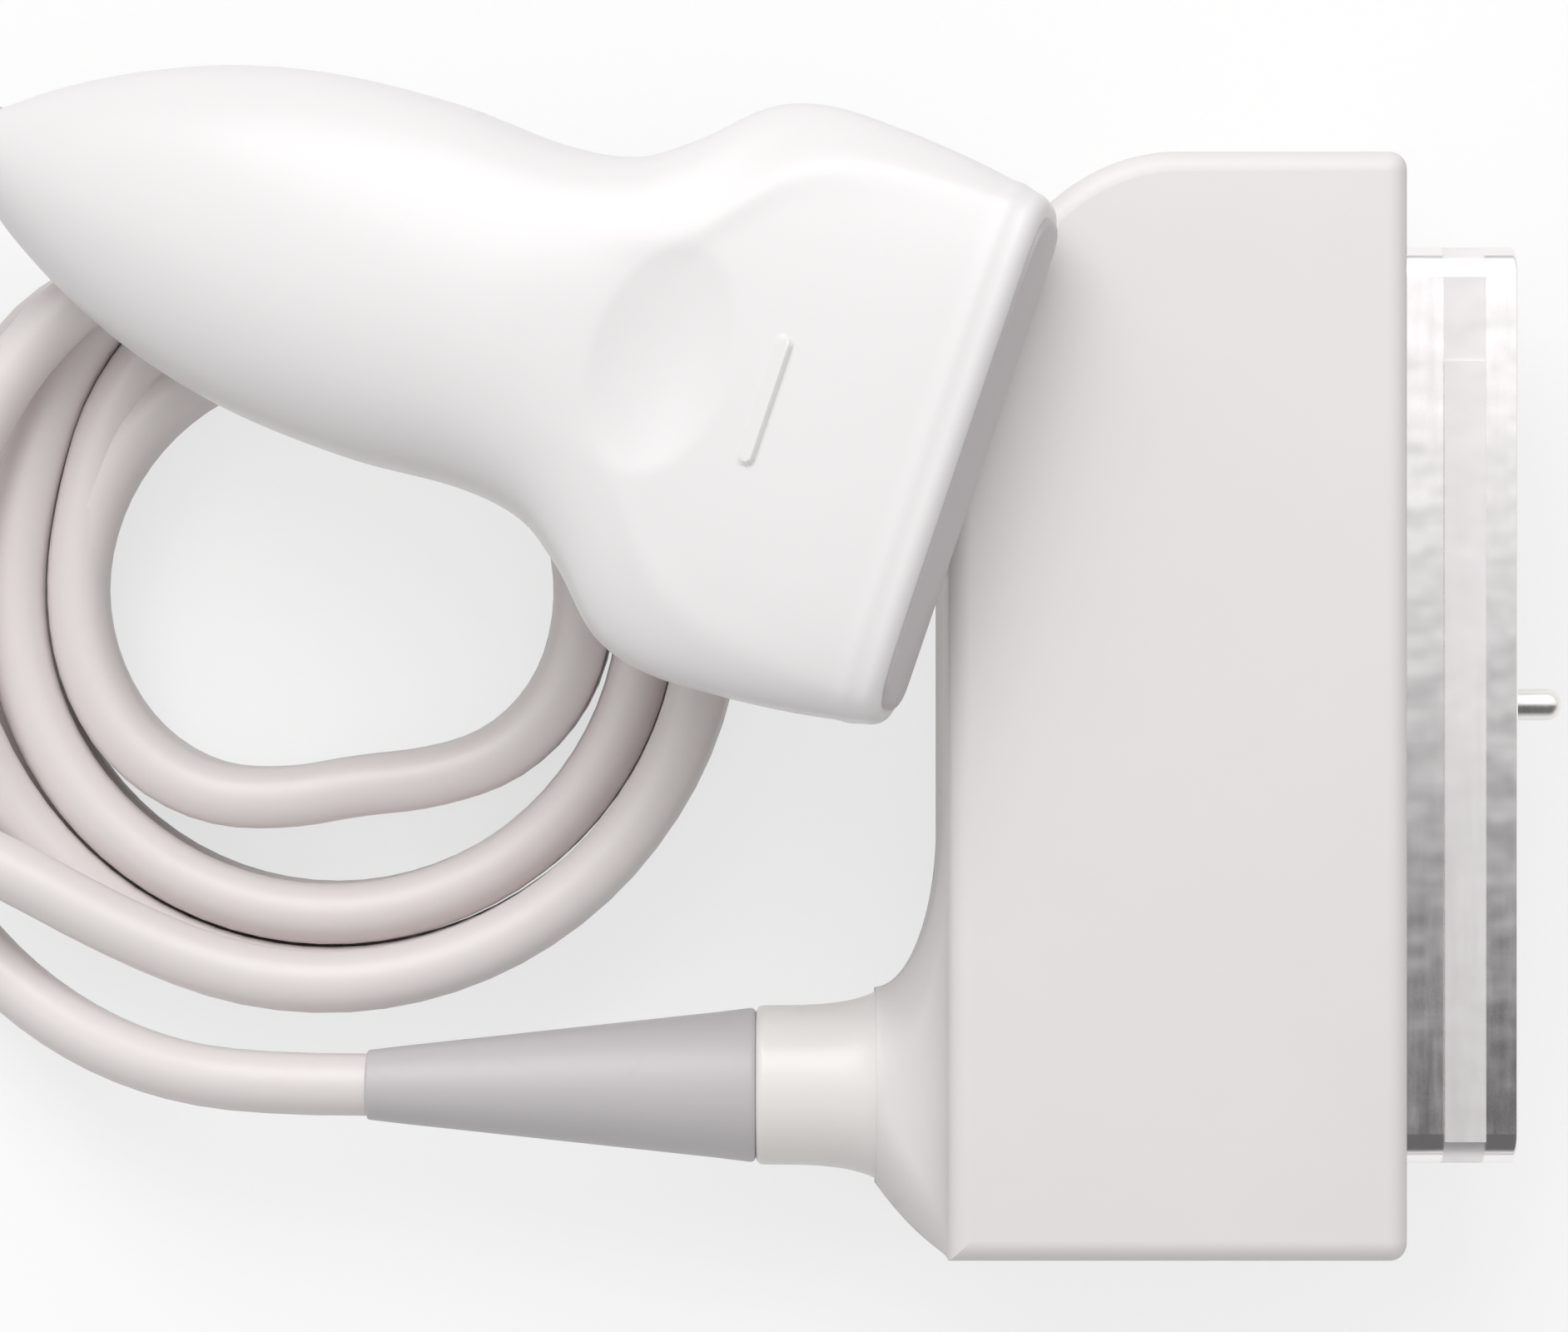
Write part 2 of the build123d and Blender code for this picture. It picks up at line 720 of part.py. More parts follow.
def gland_collar():
    """Cream collar that flares onto the boss, with a spigot in the boss's bore."""
    bore, tip, root = CABLE_DIAMETER / 2 + FIT, relief_root_x(), boss_tip_x()
    z = middle_height()
    spigot = CABLE_DIAMETER / 2 + CLAMP_WALL - FIT
    edges = [
        Line((tip, boss_y() + bore, z), (tip, boss_y() + COLLAR_RADIUS - COLLAR_ROUND, z)),
        RadiusArc(
            (tip, boss_y() + COLLAR_RADIUS - COLLAR_ROUND, z),
            (tip + COLLAR_ROUND, boss_y() + COLLAR_RADIUS, z),
            COLLAR_ROUND,
        ),
        Spline(
            (tip + COLLAR_ROUND, boss_y() + COLLAR_RADIUS, z),
            (root, boss_y() + BOSS_RADIUS - COLLAR_STEP, z),
            tangents=((1, 0, 0), (1, COLLAR_SLOPE, 0)),
        ),
        *Polyline(
            (root, boss_y() + BOSS_RADIUS - COLLAR_STEP, z),
            (root, boss_y() + spigot, z),
            (root + SPIGOT_LENGTH, boss_y() + spigot, z),
            (root + SPIGOT_LENGTH, boss_y() + bore, z),
            (tip, boss_y() + bore, z),
        ).edges(),
    ]
    axis = Axis((0, boss_y(), z), (1, 0, 0))
    return revolve(make_face(Wire(edges)), axis=axis)


def connector_strain_relief():
    """Smooth rubber cone round the cable, thinnest at its tip."""
    bore = CABLE_DIAMETER / 2 + FIT
    return turned_x(
        [
            (relief_root_x(), bore),
            (relief_root_x(), RELIEF_ROOT_RADIUS),
            (relief_tip_x(), RELIEF_TIP_RADIUS),
            (relief_tip_x(), bore),
        ]
    )


def jacket_in_connector():
    """The cable's jacket from its clamp to the tip of the strain relief."""
    return cylinder_x(CABLE_DIAMETER / 2, relief_tip_x(), jacket_end_x(), boss_y(), middle_height())


def station(distance):
    """Half width, half thickness and fullness of the handle at a distance behind the nose.

    Between two stations each value follows a cubic whose slopes are those of the chords beside it.
    """
    rows = HANDLE_STATIONS
    last = len(rows) - 1
    here = max(i for i in range(last) if rows[i][0] <= distance or i == 0)
    span = rows[here + 1][0] - rows[here][0]
    t = (distance - rows[here][0]) / span
    values = []
    for column in range(1, len(rows[0])):
        slopes = []
        for i in (here, here + 1):
            before, after = rows[max(i - 1, 0)], rows[min(i + 1, last)]
            slopes.append((after[column] - before[column]) / (after[0] - before[0]) * span)
        start, end = rows[here][column], rows[here + 1][column]
        values.append(
            start * (1 + 2 * t) * (1 - t) ** 2
            + slopes[0] * t * (1 - t) ** 2
            + end * t**2 * (3 - 2 * t)
            - slopes[1] * t**2 * (1 - t)
        )
    return values


def handle_length():
    return HANDLE_STATIONS[-1][0]


def quarter_curves(x, half_width, half_thick, fullness, sides):
    """Quarter outlines from the edge to the middle of a face, one for each (y, z) side.

    Each is a cubic whose two inner points stand a share, the fullness, along the half sizes:
    0.55 gives an ellipse and 1 gives a flat face with a rounded edge.
    """
    curves = []
    for y_side, z_side in sides:
        wide, thick = y_side * half_width, z_side * half_thick
        edge, middle = (x, wide, 0), (x, 0, thick)
        curves.append(Bezier(edge, (x, wide, fullness * thick), (x, fullness * wide, thick), middle))
    return curves


def full_section(x, half_width, half_thick, fullness):
    """Closed section across the handle at a local X."""
    sides = ((1, 1), (-1, 1), (-1, -1), (1, -1))
    return make_face(Wire(quarter_curves(x, half_width, half_thick, fullness, sides)))


def half_section(x, half_width, half_thick, fullness, side):
    """The half of that section above or below the parting plane, closed by a line."""
    curves = quarter_curves(x, half_width, half_thick, fullness, ((1, side), (-1, side)))
    return make_face(Wire([*curves, Line((x, -half_width, 0), (x, half_width, 0))]))


def handle_half(inset, last, side):
    """Smooth loft of one half of the handle from its nose as far back as last."""
    count = round(last / SECTION_SPACING)
    sections = []
    for number in range(count + 1):
        distance = last * number / count
        half_width, half_thick, fullness = station(distance)
        sections.append(
            half_section(-distance, half_width - inset, half_thick - inset, fullness, side)
        )
    return loft(sections)


def nose_prism(inset, start, end):
    """Straight solid with the nose's own section, between two local X values."""
    _, half_width, half_thick, fullness = HANDLE_STATIONS[0]
    face = full_section(start, half_width - inset, half_thick - inset, fullness)
    return extrude(face, amount=end - start, dir=(1, 0, 0))


def round_x(radius, start, end):
    """A cylinder on the handle's own axis, between two local X values."""
    return cylinder_x(radius, start, end, 0, 0)


def ferrule_start():
    return -(CAVITY_END + FERRULE_BEHIND)


def half_shell(side):
    """One hollow half of the handle, with its tail bore, board ribs and ferrule rib."""
    last = handle_length()
    shell = handle_half(0, last, side) - handle_half(HANDLE_WALL, CAVITY_END, side)
    shell = shell + board_ribs(side) + ferrule_rib(side)
    return shell - round_x(CABLE_DIAMETER / 2 + FIT, -last - 1, -CAVITY_END + 1)


def board_ribs(side):
    """Cross ribs in one half shell that carry the circuit board, up to its face."""
    inner = handle_half(HANDLE_WALL / 2, CAVITY_END, side)
    near, far = sorted((side * HANDLE_BOARD_THICK / 2, side * RIB_REACH))
    front = HANDLE_BOARD_START + RIB_INSET
    back = HANDLE_BOARD_START + HANDLE_BOARD_LENGTH - RIB_INSET
    half, wide = BOARD_RIB_WIDTH / 2, HANDLE_BOARD_WIDTH / 2
    ribs = [block((-d - half, -wide, near), (-d + half, wide, far)) & inner for d in (front, back)]
    return ribs[0] + ribs[1]


def ferrule_rib(side):
    """Saddle rib in one half shell that holds the crimped ferrule."""
    inner = handle_half(HANDLE_WALL / 2, CAVITY_END, side)
    x, half = ferrule_start() + FERRULE_LENGTH / 2, FERRULE_LENGTH / 4
    near, far = sorted((0, side * RIB_REACH))
    slab = block((x - half, -RIB_REACH, near), (x + half, RIB_REACH, far)) & inner
    return slab - round_x(ferrule_radius() + FIT, x - FERRULE_LENGTH, x + FERRULE_LENGTH)


def ferrule_radius():
    return CABLE_DIAMETER / 2 + FIT + FERRULE_WALL


def dish_cutter():
    """Barrel whose lowest part is the oval thumb dish: an arc turned about a line across it."""
    half, depth = DISH_WIDTH / 2, DISH_DEPTH
    across = (half**2 + depth**2) / (2 * depth)
    along = ((DISH_LENGTH / 2) ** 2 + depth**2) / (2 * depth)
    reach, rise = DISH_REACH * half, across - math.sqrt(across**2 - (DISH_REACH * half) ** 2)
    arc = ThreePointArc((0, -reach, rise), (0, 0, 0), (0, reach, rise))
    face = make_face(Wire([arc, Line((0, reach, rise), (0, -reach, rise))]))
    barrel = revolve(face, axis=Axis((0, 0, along), (0, 1, 0)))
    height = station(DISH_BEHIND_NOSE)[1] - DISH_DEPTH
    return Pos(-DISH_BEHIND_NOSE, 0, height) * Rot(0, DISH_TILT, 0) * barrel


def orientation_ridge():
    """Raised bar with rounded ends across the upper face."""
    top = station(RIDGE_BEHIND_NOSE)[1]
    place = Plane.XY.offset(top - HANDLE_WALL / 2) * Pos(-RIDGE_BEHIND_NOSE, 0)
    bar = extrude(place * Rot(0, 0, 90) * SlotOverall(RIDGE_LENGTH, RIDGE_WIDTH),
                  amount=HANDLE_WALL / 2 + RIDGE_PROUD)
    return fillet(bar.faces().sort_by(Axis.Z)[-1].edges(), RIDGE_ROUND)


def handle_shell_upper():
    """Upper half with the thumb dish and the orientation ridge."""
    return half_shell(1) - dish_cutter() + orientation_ridge()


def handle_shell_lower():
    return half_shell(-1)


def acoustic_lens():
    """Silicone lens: a plug in the mouth and a lip on the rim, with a cylindrical front."""
    lip = nose_prism(RIM_LIP, 0, LENS_PROUD + 1)
    half = HANDLE_STATIONS[0][2] - RIM_LIP
    sag = LENS_PROUD - LENS_EDGE
    radius = (half**2 + sag**2) / (2 * sag)
    place = Plane(origin=(LENS_PROUD - radius, REACH / 2, 0), x_dir=(1, 0, 0), z_dir=(0, -1, 0))
    front = extrude(place * Circle(radius), amount=REACH)
    plug = nose_prism(HANDLE_WALL + LENS_FIT, -LENS_PLUG, 0)
    return (lip & front) + plug


def stack_block(start, depth, length, thick):
    return block((start - depth, -length / 2, -thick / 2), (start, length / 2, thick / 2))


def matching_layer():
    return stack_block(-LENS_PLUG, MATCHING_DEPTH, STACK_LENGTH, STACK_THICK)


def piezo_start():
    return -LENS_PLUG - MATCHING_DEPTH


def piezo_array():
    """The element row, with its saw kerfs cut into the front face."""
    bar = stack_block(piezo_start(), PIEZO_DEPTH, STACK_LENGTH, STACK_THICK)
    pitch = STACK_LENGTH / (PIEZO_KERFS + 1)
    for count in range(PIEZO_KERFS):
        y = -STACK_LENGTH / 2 + pitch * (count + 1)
        low = (piezo_start() - KERF_DEPTH, y - KERF_WIDE / 2, -STACK_THICK)
        bar -= block(low, (0, y + KERF_WIDE / 2, STACK_THICK))
    return bar


def backing_start():
    return piezo_start() - PIEZO_DEPTH


def backing_block():
    return stack_block(backing_start(), BACKING_DEPTH, STACK_LENGTH, STACK_THICK)


def stack_back():
    return backing_start() - BACKING_DEPTH


def array_carrier():
    """Frame that fills the mouth round the stack."""
    frame = nose_prism(HANDLE_WALL + LENS_FIT, stack_back(), -LENS_PLUG)
    window = STACK_LENGTH / 2, STACK_THICK / 2
    return frame - block((-REACH, -window[0], -window[1]), (0, window[0], window[1]))


def array_flex_circuit():
    """Thin tapered strip from the back of the stack to the front edge of the board."""
    x = -HANDLE_BOARD_START
    near, far = STACK_LENGTH / 2 - 1, HANDLE_BOARD_WIDTH / 2 - 1
    outline = Polyline(
        (stack_back(), -near), (stack_back(), near), (x, far), (x, -far), close=True
    )
    return extrude(Plane.XY.offset(-FLEX_THICK / 2) * make_face(outline), amount=FLEX_THICK)


def handle_board():
    x = -HANDLE_BOARD_START
    low = (x - HANDLE_BOARD_LENGTH, -HANDLE_BOARD_WIDTH / 2, -HANDLE_BOARD_THICK / 2)
    return block(low, (x, HANDLE_BOARD_WIDTH / 2, HANDLE_BOARD_THICK / 2))


def board_plugs():
    """Micro coaxial plugs in a row on the board."""
    x = -HANDLE_BOARD_START - HANDLE_BOARD_LENGTH / 2
    pitch = HANDLE_BOARD_WIDTH / PLUG_COUNT
    bottom = HANDLE_BOARD_THICK / 2
    plugs = []
    for count in range(PLUG_COUNT):
        y = -HANDLE_BOARD_WIDTH / 2 + pitch * (count + 0.5)
        low = (x - PLUG_LENGTH / 2, y - PLUG_WIDTH / 2, bottom)
        plugs.append(block(low, (x + PLUG_LENGTH / 2, y + PLUG_WIDTH / 2, bottom + PLUG_THICK)))
    return plugs


def handle_wire_bundle():
    """Stripped wires that fan out from the ferrule to the rear edge of the board."""
    start = -HANDLE_BOARD_START - HANDLE_BOARD_LENGTH
    flat = Plane(origin=(start, 0, 0), x_dir=(0, 1, 0), z_dir=(-1, 0, 0))
    end = Plane(origin=(jacket_start(), 0, 0), x_dir=(0, 1, 0), z_dir=(-1, 0, 0))
    wide = RectangleRounded(FAN_WIDTH, FAN_THICK, FAN_THICK * 0.45)
    narrow = RectangleRounded(2 * BUNDLE_RADIUS, 2 * BUNDLE_RADIUS, BUNDLE_RADIUS * 0.98)
    return loft([flat * wide, end * narrow])


def jacket_start():
    """Local X where the jacket is stripped, just inside the ferrule's front end."""
    return ferrule_start() + FERRULE_LENGTH + JACKET_PAST_FERRULE


def jacket_ferrule():
    """Crimped ring round the jacket in the tail."""
    start, end = ferrule_start(), ferrule_start() + FERRULE_LENGTH
    bore = round_x(CABLE_DIAMETER / 2 + FIT, start - 1, end + 1)
    return round_x(ferrule_radius(), start, end) - bore


def tail_x():
    return -handle_length()


def handle_strain_relief():
    """Short rubber cone at the tail, round the jacket."""
    tip = tail_x() - TAIL_RELIEF_LENGTH
    bore = CABLE_DIAMETER / 2 + FIT
    outline = Polyline(
        (tail_x(), bore, 0),
        (tail_x(), TAIL_RELIEF_ROOT_RADIUS, 0),
        (tip, TAIL_RELIEF_TIP_RADIUS, 0),
        (tip, bore, 0),
        close=True,
    )
    return revolve(make_face(outline), axis=Axis.X)


def jacket_in_handle():
    return round_x(CABLE_DIAMETER / 2, tail_x() - TAIL_RELIEF_LENGTH, jacket_start())


def handle_pitch():
    """Angle at which the handle rests on the housing's edge and on the coil, in radians."""
    nose, tail = station(NOSE_REST_BEHIND)[1], station(TAIL_REST_BEHIND)[1]
    run = TAIL_REST_BEHIND - NOSE_REST_BEHIND
    drop = HOUSING_THICK - NOSE_EDGE_DROP - COIL_HEIGHT
    pitch = 0.0
    for _ in range(20):
        pitch = math.asin((drop + (nose - tail) / math.cos(pitch)) / run)
    return pitch


def handle_place():
    """Frame of the handle: local X to the nose, Z out of its upper face."""
    pitch, yaw = handle_pitch(), math.radians(HANDLE_YAW)
    nose = station(NOSE_REST_BEHIND)[1] / math.cos(pitch)
    rest = HOUSING_THICK + REST_GAP - NOSE_EDGE_DROP
    height = rest + nose + NOSE_REST_BEHIND * math.sin(pitch)
    along = (math.cos(pitch) * math.cos(yaw), -math.cos(pitch) * math.sin(yaw), math.sin(pitch))
    up = (-math.sin(pitch) * math.cos(yaw), math.sin(pitch) * math.sin(yaw), math.cos(pitch))
    return Plane(origin=(NOSE_X, NOSE_Y, height), x_dir=along, z_dir=up)


def cable_coil():
    """Outer shape of the coiled cable: a low ring with an off-centre hole."""
    ring = extrude(Pos(*COIL_CENTRE) * Circle(COIL_RADIUS), amount=COIL_HEIGHT)
    ring -= extrude(Pos(*COIL_HOLE_CENTRE) * Circle(COIL_HOLE_RADIUS), amount=COIL_HEIGHT)
    return fillet(ring.edges().filter_by(GeomType.CIRCLE), COIL_EDGE)


def run_radii(points):
    """Radius of the arc at each corner: as large as its two runs allow."""
    radii = []
    for before, corner, after in zip(points, points[1:], points[2:]):
        first, second = corner - before, after - corner
        half_turn = math.radians(first.get_angle(second)) / 2
        radii.append(ARC_SHARE * min(first.length, second.length) / math.tan(half_turn))
    return radii


def cable_tube(name, points):
    """A tube of straight runs and tangent arcs, whose end inside the coil is cut away."""
    route = [Vector(*point) for point in points]
    radii = run_radii(route)
    print(name, "radii", [round(radius, 1) for radius in radii])
    path = FilletPolyline(*route, radius=radii)
    ring = Plane(origin=route[0], z_dir=route[1] - route[0]) * Circle(CABLE_DIAMETER / 2)
    tube = sweep(ring, path=path)
    section = math.pi * CABLE_DIAMETER**2 / 4
    print(name, "volume over section times length", round(tube.volume / section / path.length, 4))
    return (tube - cable_coil()).solids().sort_by(SortBy.VOLUME)[-1]


def cable_handle_run():
    """Cable from the handle's strain relief round to the coil."""
    place = handle_place()
    tip = tail_x() - TAIL_RELIEF_LENGTH
    first = [place.from_local_coords(Vector(x, 0, 0)) for x in (tip, tip - FIRST_RUN)]
    print("handle run starts", [[round(value, 2) for value in point] for point in first])
    return cable_tube("handle run", [*map(tuple, first), *HANDLE_RUN])


def cable_connector_run():
    """Cable from the coil's far side to the connector's strain relief."""
    first = [(relief_tip_x() - run, boss_y(), middle_height()) for run in (0, FIRST_RUN)]
    return cable_tube("connector run", [*first, *CONNECTOR_RUN])


FIXED = (
    housing_back, housing_front, housing_screws, connector_shell, contact_insert, contacts,
    guide_pin, shell_screws, connector_board, edge_connectors, board_chips, board_standoffs,
    cable_header, connector_wire_bundle, cable_clamp, clamp_screws, gland_collar,
    connector_strain_relief, jacket_in_connector, cable_coil, cable_handle_run,
    cable_connector_run,
)
ON_HANDLE = (
    handle_shell_upper, handle_shell_lower, acoustic_lens, matching_layer, piezo_array,
    backing_block, array_carrier, array_flex_circuit, handle_board, board_plugs,
    handle_wire_bundle, jacket_in_handle, jacket_ferrule, handle_strain_relief,
)


def save(maker, place):
    """Make one node, put it in its place and write it."""
    made = maker()
    solids = made if isinstance(made, list) else made.solids()
    placed = [place * solid for solid in solids]
    shape = placed[0] if len(placed) == 1 else Compound(children=placed)
    export_step(shape, f"parts/{maker.__name__}.step")


os.makedirs("parts", exist_ok=True)
for maker in FIXED:
    save(maker, Location())
for maker in ON_HANDLE:
    save(maker, handle_place().location)
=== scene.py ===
import json
import math

import bmesh
import bpy
import numpy as np
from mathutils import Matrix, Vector


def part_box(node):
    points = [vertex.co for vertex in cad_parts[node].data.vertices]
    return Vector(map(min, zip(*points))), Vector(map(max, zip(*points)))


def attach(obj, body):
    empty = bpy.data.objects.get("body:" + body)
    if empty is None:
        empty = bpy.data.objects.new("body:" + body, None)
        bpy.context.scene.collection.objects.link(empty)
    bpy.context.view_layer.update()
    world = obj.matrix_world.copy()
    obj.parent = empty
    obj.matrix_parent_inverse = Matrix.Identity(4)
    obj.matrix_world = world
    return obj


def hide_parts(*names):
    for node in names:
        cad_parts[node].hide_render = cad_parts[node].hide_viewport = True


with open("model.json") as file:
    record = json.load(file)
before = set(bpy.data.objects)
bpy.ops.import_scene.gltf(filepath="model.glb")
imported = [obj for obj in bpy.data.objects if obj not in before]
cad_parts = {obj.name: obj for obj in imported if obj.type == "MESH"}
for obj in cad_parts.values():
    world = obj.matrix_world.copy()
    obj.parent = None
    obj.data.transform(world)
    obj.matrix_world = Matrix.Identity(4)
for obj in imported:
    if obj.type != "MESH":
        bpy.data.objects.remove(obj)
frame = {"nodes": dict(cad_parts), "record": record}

bl_info = {
    "name": "Ultrasound Probe Finish",
    "version": (1, 0, 0),
    "blender": (4, 5, 0),
    "location": "View3D > Sidebar > Ultrasound Probe",
    "description": "Cable, shells, metalwork, materials and studio for a linear ultrasound probe",
    "category": "Object",
}

# Camera of the photograph, straight above the probe: its picture's width and focal length in
# pixels, its sensor's width in millimetres and its place in metres
IMAGE_WIDTH = 1884
SENSOR_WIDTH = 36.0
FOCAL_PIXELS = 5406.0
CAMERA_PLACE = (-0.0362, 0.0037, 0.450)

# Axis of the cable in the connector's boss
BOSS_Y = -0.0364

# The cable's corners outside the coil, given one by one: from the handle, and then to the connector
HANDLE_RUN = (
    (-0.1459, 0.0622, 0.0164),
    (-0.1582, 0.0604, 0.0130),
    (-0.1690, 0.0546, 0.0100),
    (-0.1768, 0.0450, 0.0072),
    (-0.1802, 0.0330, 0.0050),
    (-0.1790, 0.0206, 0.0036),
    (-0.1732, 0.0096, 0.0032),
    (-0.1638, 0.0014, 0.0046),
    (-0.1520, -0.0032, 0.0084),
    (-0.1392, -0.0060, 0.0126),
    (-0.1264, -0.0098, 0.0150),
    (-0.1144, -0.0140, 0.0158),
)
CONNECTOR_RUN = (
    (-0.1087, 0.0395, 0.0032),
    (-0.1150, 0.0318, 0.0031),
    (-0.1208, 0.0215, 0.0031),
    (-0.1250, 0.0100, 0.0031),
    (-0.1258, -0.0046, 0.0034),
    (-0.1222, -0.0152, 0.0048),
    (-0.1156, -0.0242, 0.0080),
    (-0.1070, -0.0308, 0.0120),
    (-0.0974, -0.0348, 0.0162),
)

# Length of the straight cable beyond the tip of each strain relief
FIRST_RUN = 0.011

# Coil: its centre, the angle in degrees at which it starts, and where each turn ends, as such an
# angle, with the turn's ring from the outside and its layer
COIL_CENTRE = (-0.0805, 0.0104)
COIL_START = 240
COIL_TURNS = (
    (530, 0, 2),
    (830, 0, 1),
    (1190, 1, 1),
    (1610, 2, 1),
    (1910, 2, 0),
    (2270, 1, 0),
    (2635, 0, 0),
)

# Degrees over which the cable passes to its next ring and layer, and control points per turn
TURN_CHANGE = 60
POINTS_PER_TURN = 18

# Where the inner turns sag into the coil's hole, in degrees, and how wide that dip is
DIP_ANGLE = 278.0
DIP_SPREAD = 38.0

# Height of the lowest turns above the table, and the smoothness of the cable's mesh
FLOOR_GAP = 0.0001
CABLE_BEVEL = 6
CABLE_STEPS = 4

# Handle sections: distance behind the nose rim, half width, half thickness, and fullness, which
# is 0.55 for an ellipse and 1 for a flat face with a rounded edge
HANDLE_STATIONS = (
    (0.0000, 0.0250, 0.0069, 0.97),
    (0.0070, 0.0262, 0.0073, 0.97),
    (0.0140, 0.0269, 0.0076, 0.97),
    (0.0210, 0.0270, 0.0080, 0.95),
    (0.0260, 0.0254, 0.0085, 0.90),
    (0.0310, 0.0209, 0.0092, 0.82),
    (0.0360, 0.0176, 0.0100, 0.75),
    (0.0430, 0.0165, 0.0109, 0.69),
    (0.0540, 0.0171, 0.0115, 0.66),
    (0.0660, 0.0165, 0.0112, 0.63),
    (0.0760, 0.0145, 0.0102, 0.61),
    (0.0850, 0.0112, 0.0084, 0.58),
    (0.0920, 0.0076, 0.0062, 0.56),
    (0.0970, 0.0042, 0.0042, 0.55),
)
HANDLE_LENGTH = HANDLE_STATIONS[-1][0]

# The station whose outline spaces the points round the handle, and how finely it is measured
SPACING_STATION = HANDLE_STATIONS[2]
SPACING_SAMPLES = 600

# Where the hollow of the shells ends behind the rim and the cable's bore begins, the step between
# the two, and the height of each half's edge over the parting plane
CAVITY_END = 0.0905
CAVITY_STEP = 0.00002
PARTING = 0.00001

# How the shells' meshes are divided: rows round the rim, stretches of rows behind it, each as its
# end and its number of steps, and stretches of columns in from the edge. The upper half has finer
# rows within RIDGE_REACH of its orientation ridge.
RIM_ROWS = 11
RIDGE_REACH = 0.0016
NOSE_END = 0.004
HEAD_END = 0.042
TAIL_ROWS = ((CAVITY_END + CAVITY_STEP, 1), (HANDLE_LENGTH, 10))
LOWER_ROWS = ((NOSE_END, 14), (HEAD_END, 50), (CAVITY_END, 50), *TAIL_ROWS)
UPPER_COLUMNS = ((0.0008, 8), (0.024, 44), (0.0312, 36))
LOWER_COLUMNS = ((0.0008, 8), (0.0312, 40))
LENS_COLUMNS = ((0.0312, 48),)

# Rows over the lens's long edges, and from there over its crown to its middle line
LENS_EDGE_ROWS = 7
LENS_CROWN_ROWS = 15

# Share of the lens's half width at which its rounder ends begin and the stretch in which they
# reach their full radius, and the least elliptic radius by which a point's move is divided
LENS_END_START = 0.9
LENS_END_STRETCH = 0.1
LEAST_RADIUS = 0.5

# How softly the thumb dish is cut off at its rim, as a share of its depth, and how far inside its
# edge the ridge's slope begins, as a share of the slope's width
DISH_SOFTNESS = 0.07
RIDGE_START = 0.7

# Soft border round the upper face: distance behind the nose, half width inside the border, and
# how far the band outside it has fallen away at the handle's edge
FACE_BORDER = (
    (0.0000, 0.0232, 0.0007),
    (0.0070, 0.0226, 0.0011),
    (0.0140, 0.0218, 0.0016),
    (0.0180, 0.0206, 0.0019),
    (0.0210, 0.0188, 0.0021),
    (0.0240, 0.0157, 0.0021),
    (0.0270, 0.0120, 0.0017),
    (0.0300, 0.0102, 0.0010),
    (0.0340, 0.0094, 0.0004),
    (0.0400, 0.0086, 0.0),
    (0.0970, 0.0030, 0.0),
)

# Loops along the boss's flare, and points round each of a loop's four corners
FLARE_ROWS = 36
CORNER_POINTS = 12

# Points round a turned piece, over each rounded edge of a cone and along its side, and the shares
# of its length between which the side's points lie
TURN_STEPS = 64
EDGE_ROWS = 6
CONE_ROWS = 17
CONE_START = 0.1
CONE_END = 0.9

# Half width of the groove that shows where the housing's two halves meet, how much painted
# shade darkens its colour, and how sharply bumped it is
PARTING_GROOVE = 0.00025
GROOVE_PAINTED_SHADE = 0.35
GROOVE_STRENGTH = 0.8

# The raised band on the metal shell, which is blasted and so scatters more light than the rest:
# its middle and half width, the softness of its edges, and what it adds to the roughness and
# takes from the metallic share
BAND_MIDDLE_X = 0.02765
BAND_HALF = 0.00195
BAND_SOFT = 0.00015
BAND_ROUGHER = 0.24
BAND_BLASTED = 0.4

# Scuffs from handling: the turn in radians and the stretch of each set, and the range of noise in
# which a scuff grows from nothing to its most
SCUFFS = ((0.5, (30.0, 700.0, 60.0)), (-0.9, (30.0, 900.0, 60.0)))
SCUFF_LIMITS = (0.68, 0.74)

# How much rougher a metal is along its drawn lines
LINES_ROUGHER = 0.25

# Turn of the handle's length from the shared frame's X, in radians
HANDLE_TURN = 0.3255

# Distance under which doubled points of a mesh are merged, and the angle in radians from which
# an edge is sharp
WELD = 0.000001
SHARP_ANGLE = 0.6

# Where the surroundings change, in the height of a direction and across it: the sky overhead sets
# in between the first pair, its shaded side ends in the second, its bright side begins in the
# third, and the horizon's shade ends at the last
SKY_SETS_IN = (0.05, 0.45)
SHADE_ENDS = (-0.09, 0.07)
GLOW_BEGINS = (0.02, 0.1)
HORIZON_HEIGHT = 0.3


def length_setting(name, description, default):
    """A setting that holds a length."""
    return bpy.props.FloatProperty(
        name=name, description=description, default=default, unit="LENGTH"
    )


def share_setting(name, description, default):
    """A setting that holds a share from 0 to 1."""
    return bpy.props.FloatProperty(
        name=name, description=description, default=default, min=0.0, max=1.0, subtype="FACTOR"
    )


def colour_setting(name, description, default):
    """A setting that holds a colour."""
    return bpy.props.FloatVectorProperty(
        name=name, description=description, default=default, subtype="COLOR"
    )


def lens_mount():
    """The record's mount on the lens: the middle of its front and the way that it looks."""
    mount = next(m for m in frame["record"]["mounts"] if m["name"] == "lens_face")
    return Vector(mount["pos_m"]), Vector(mount["axis"]).normalized()


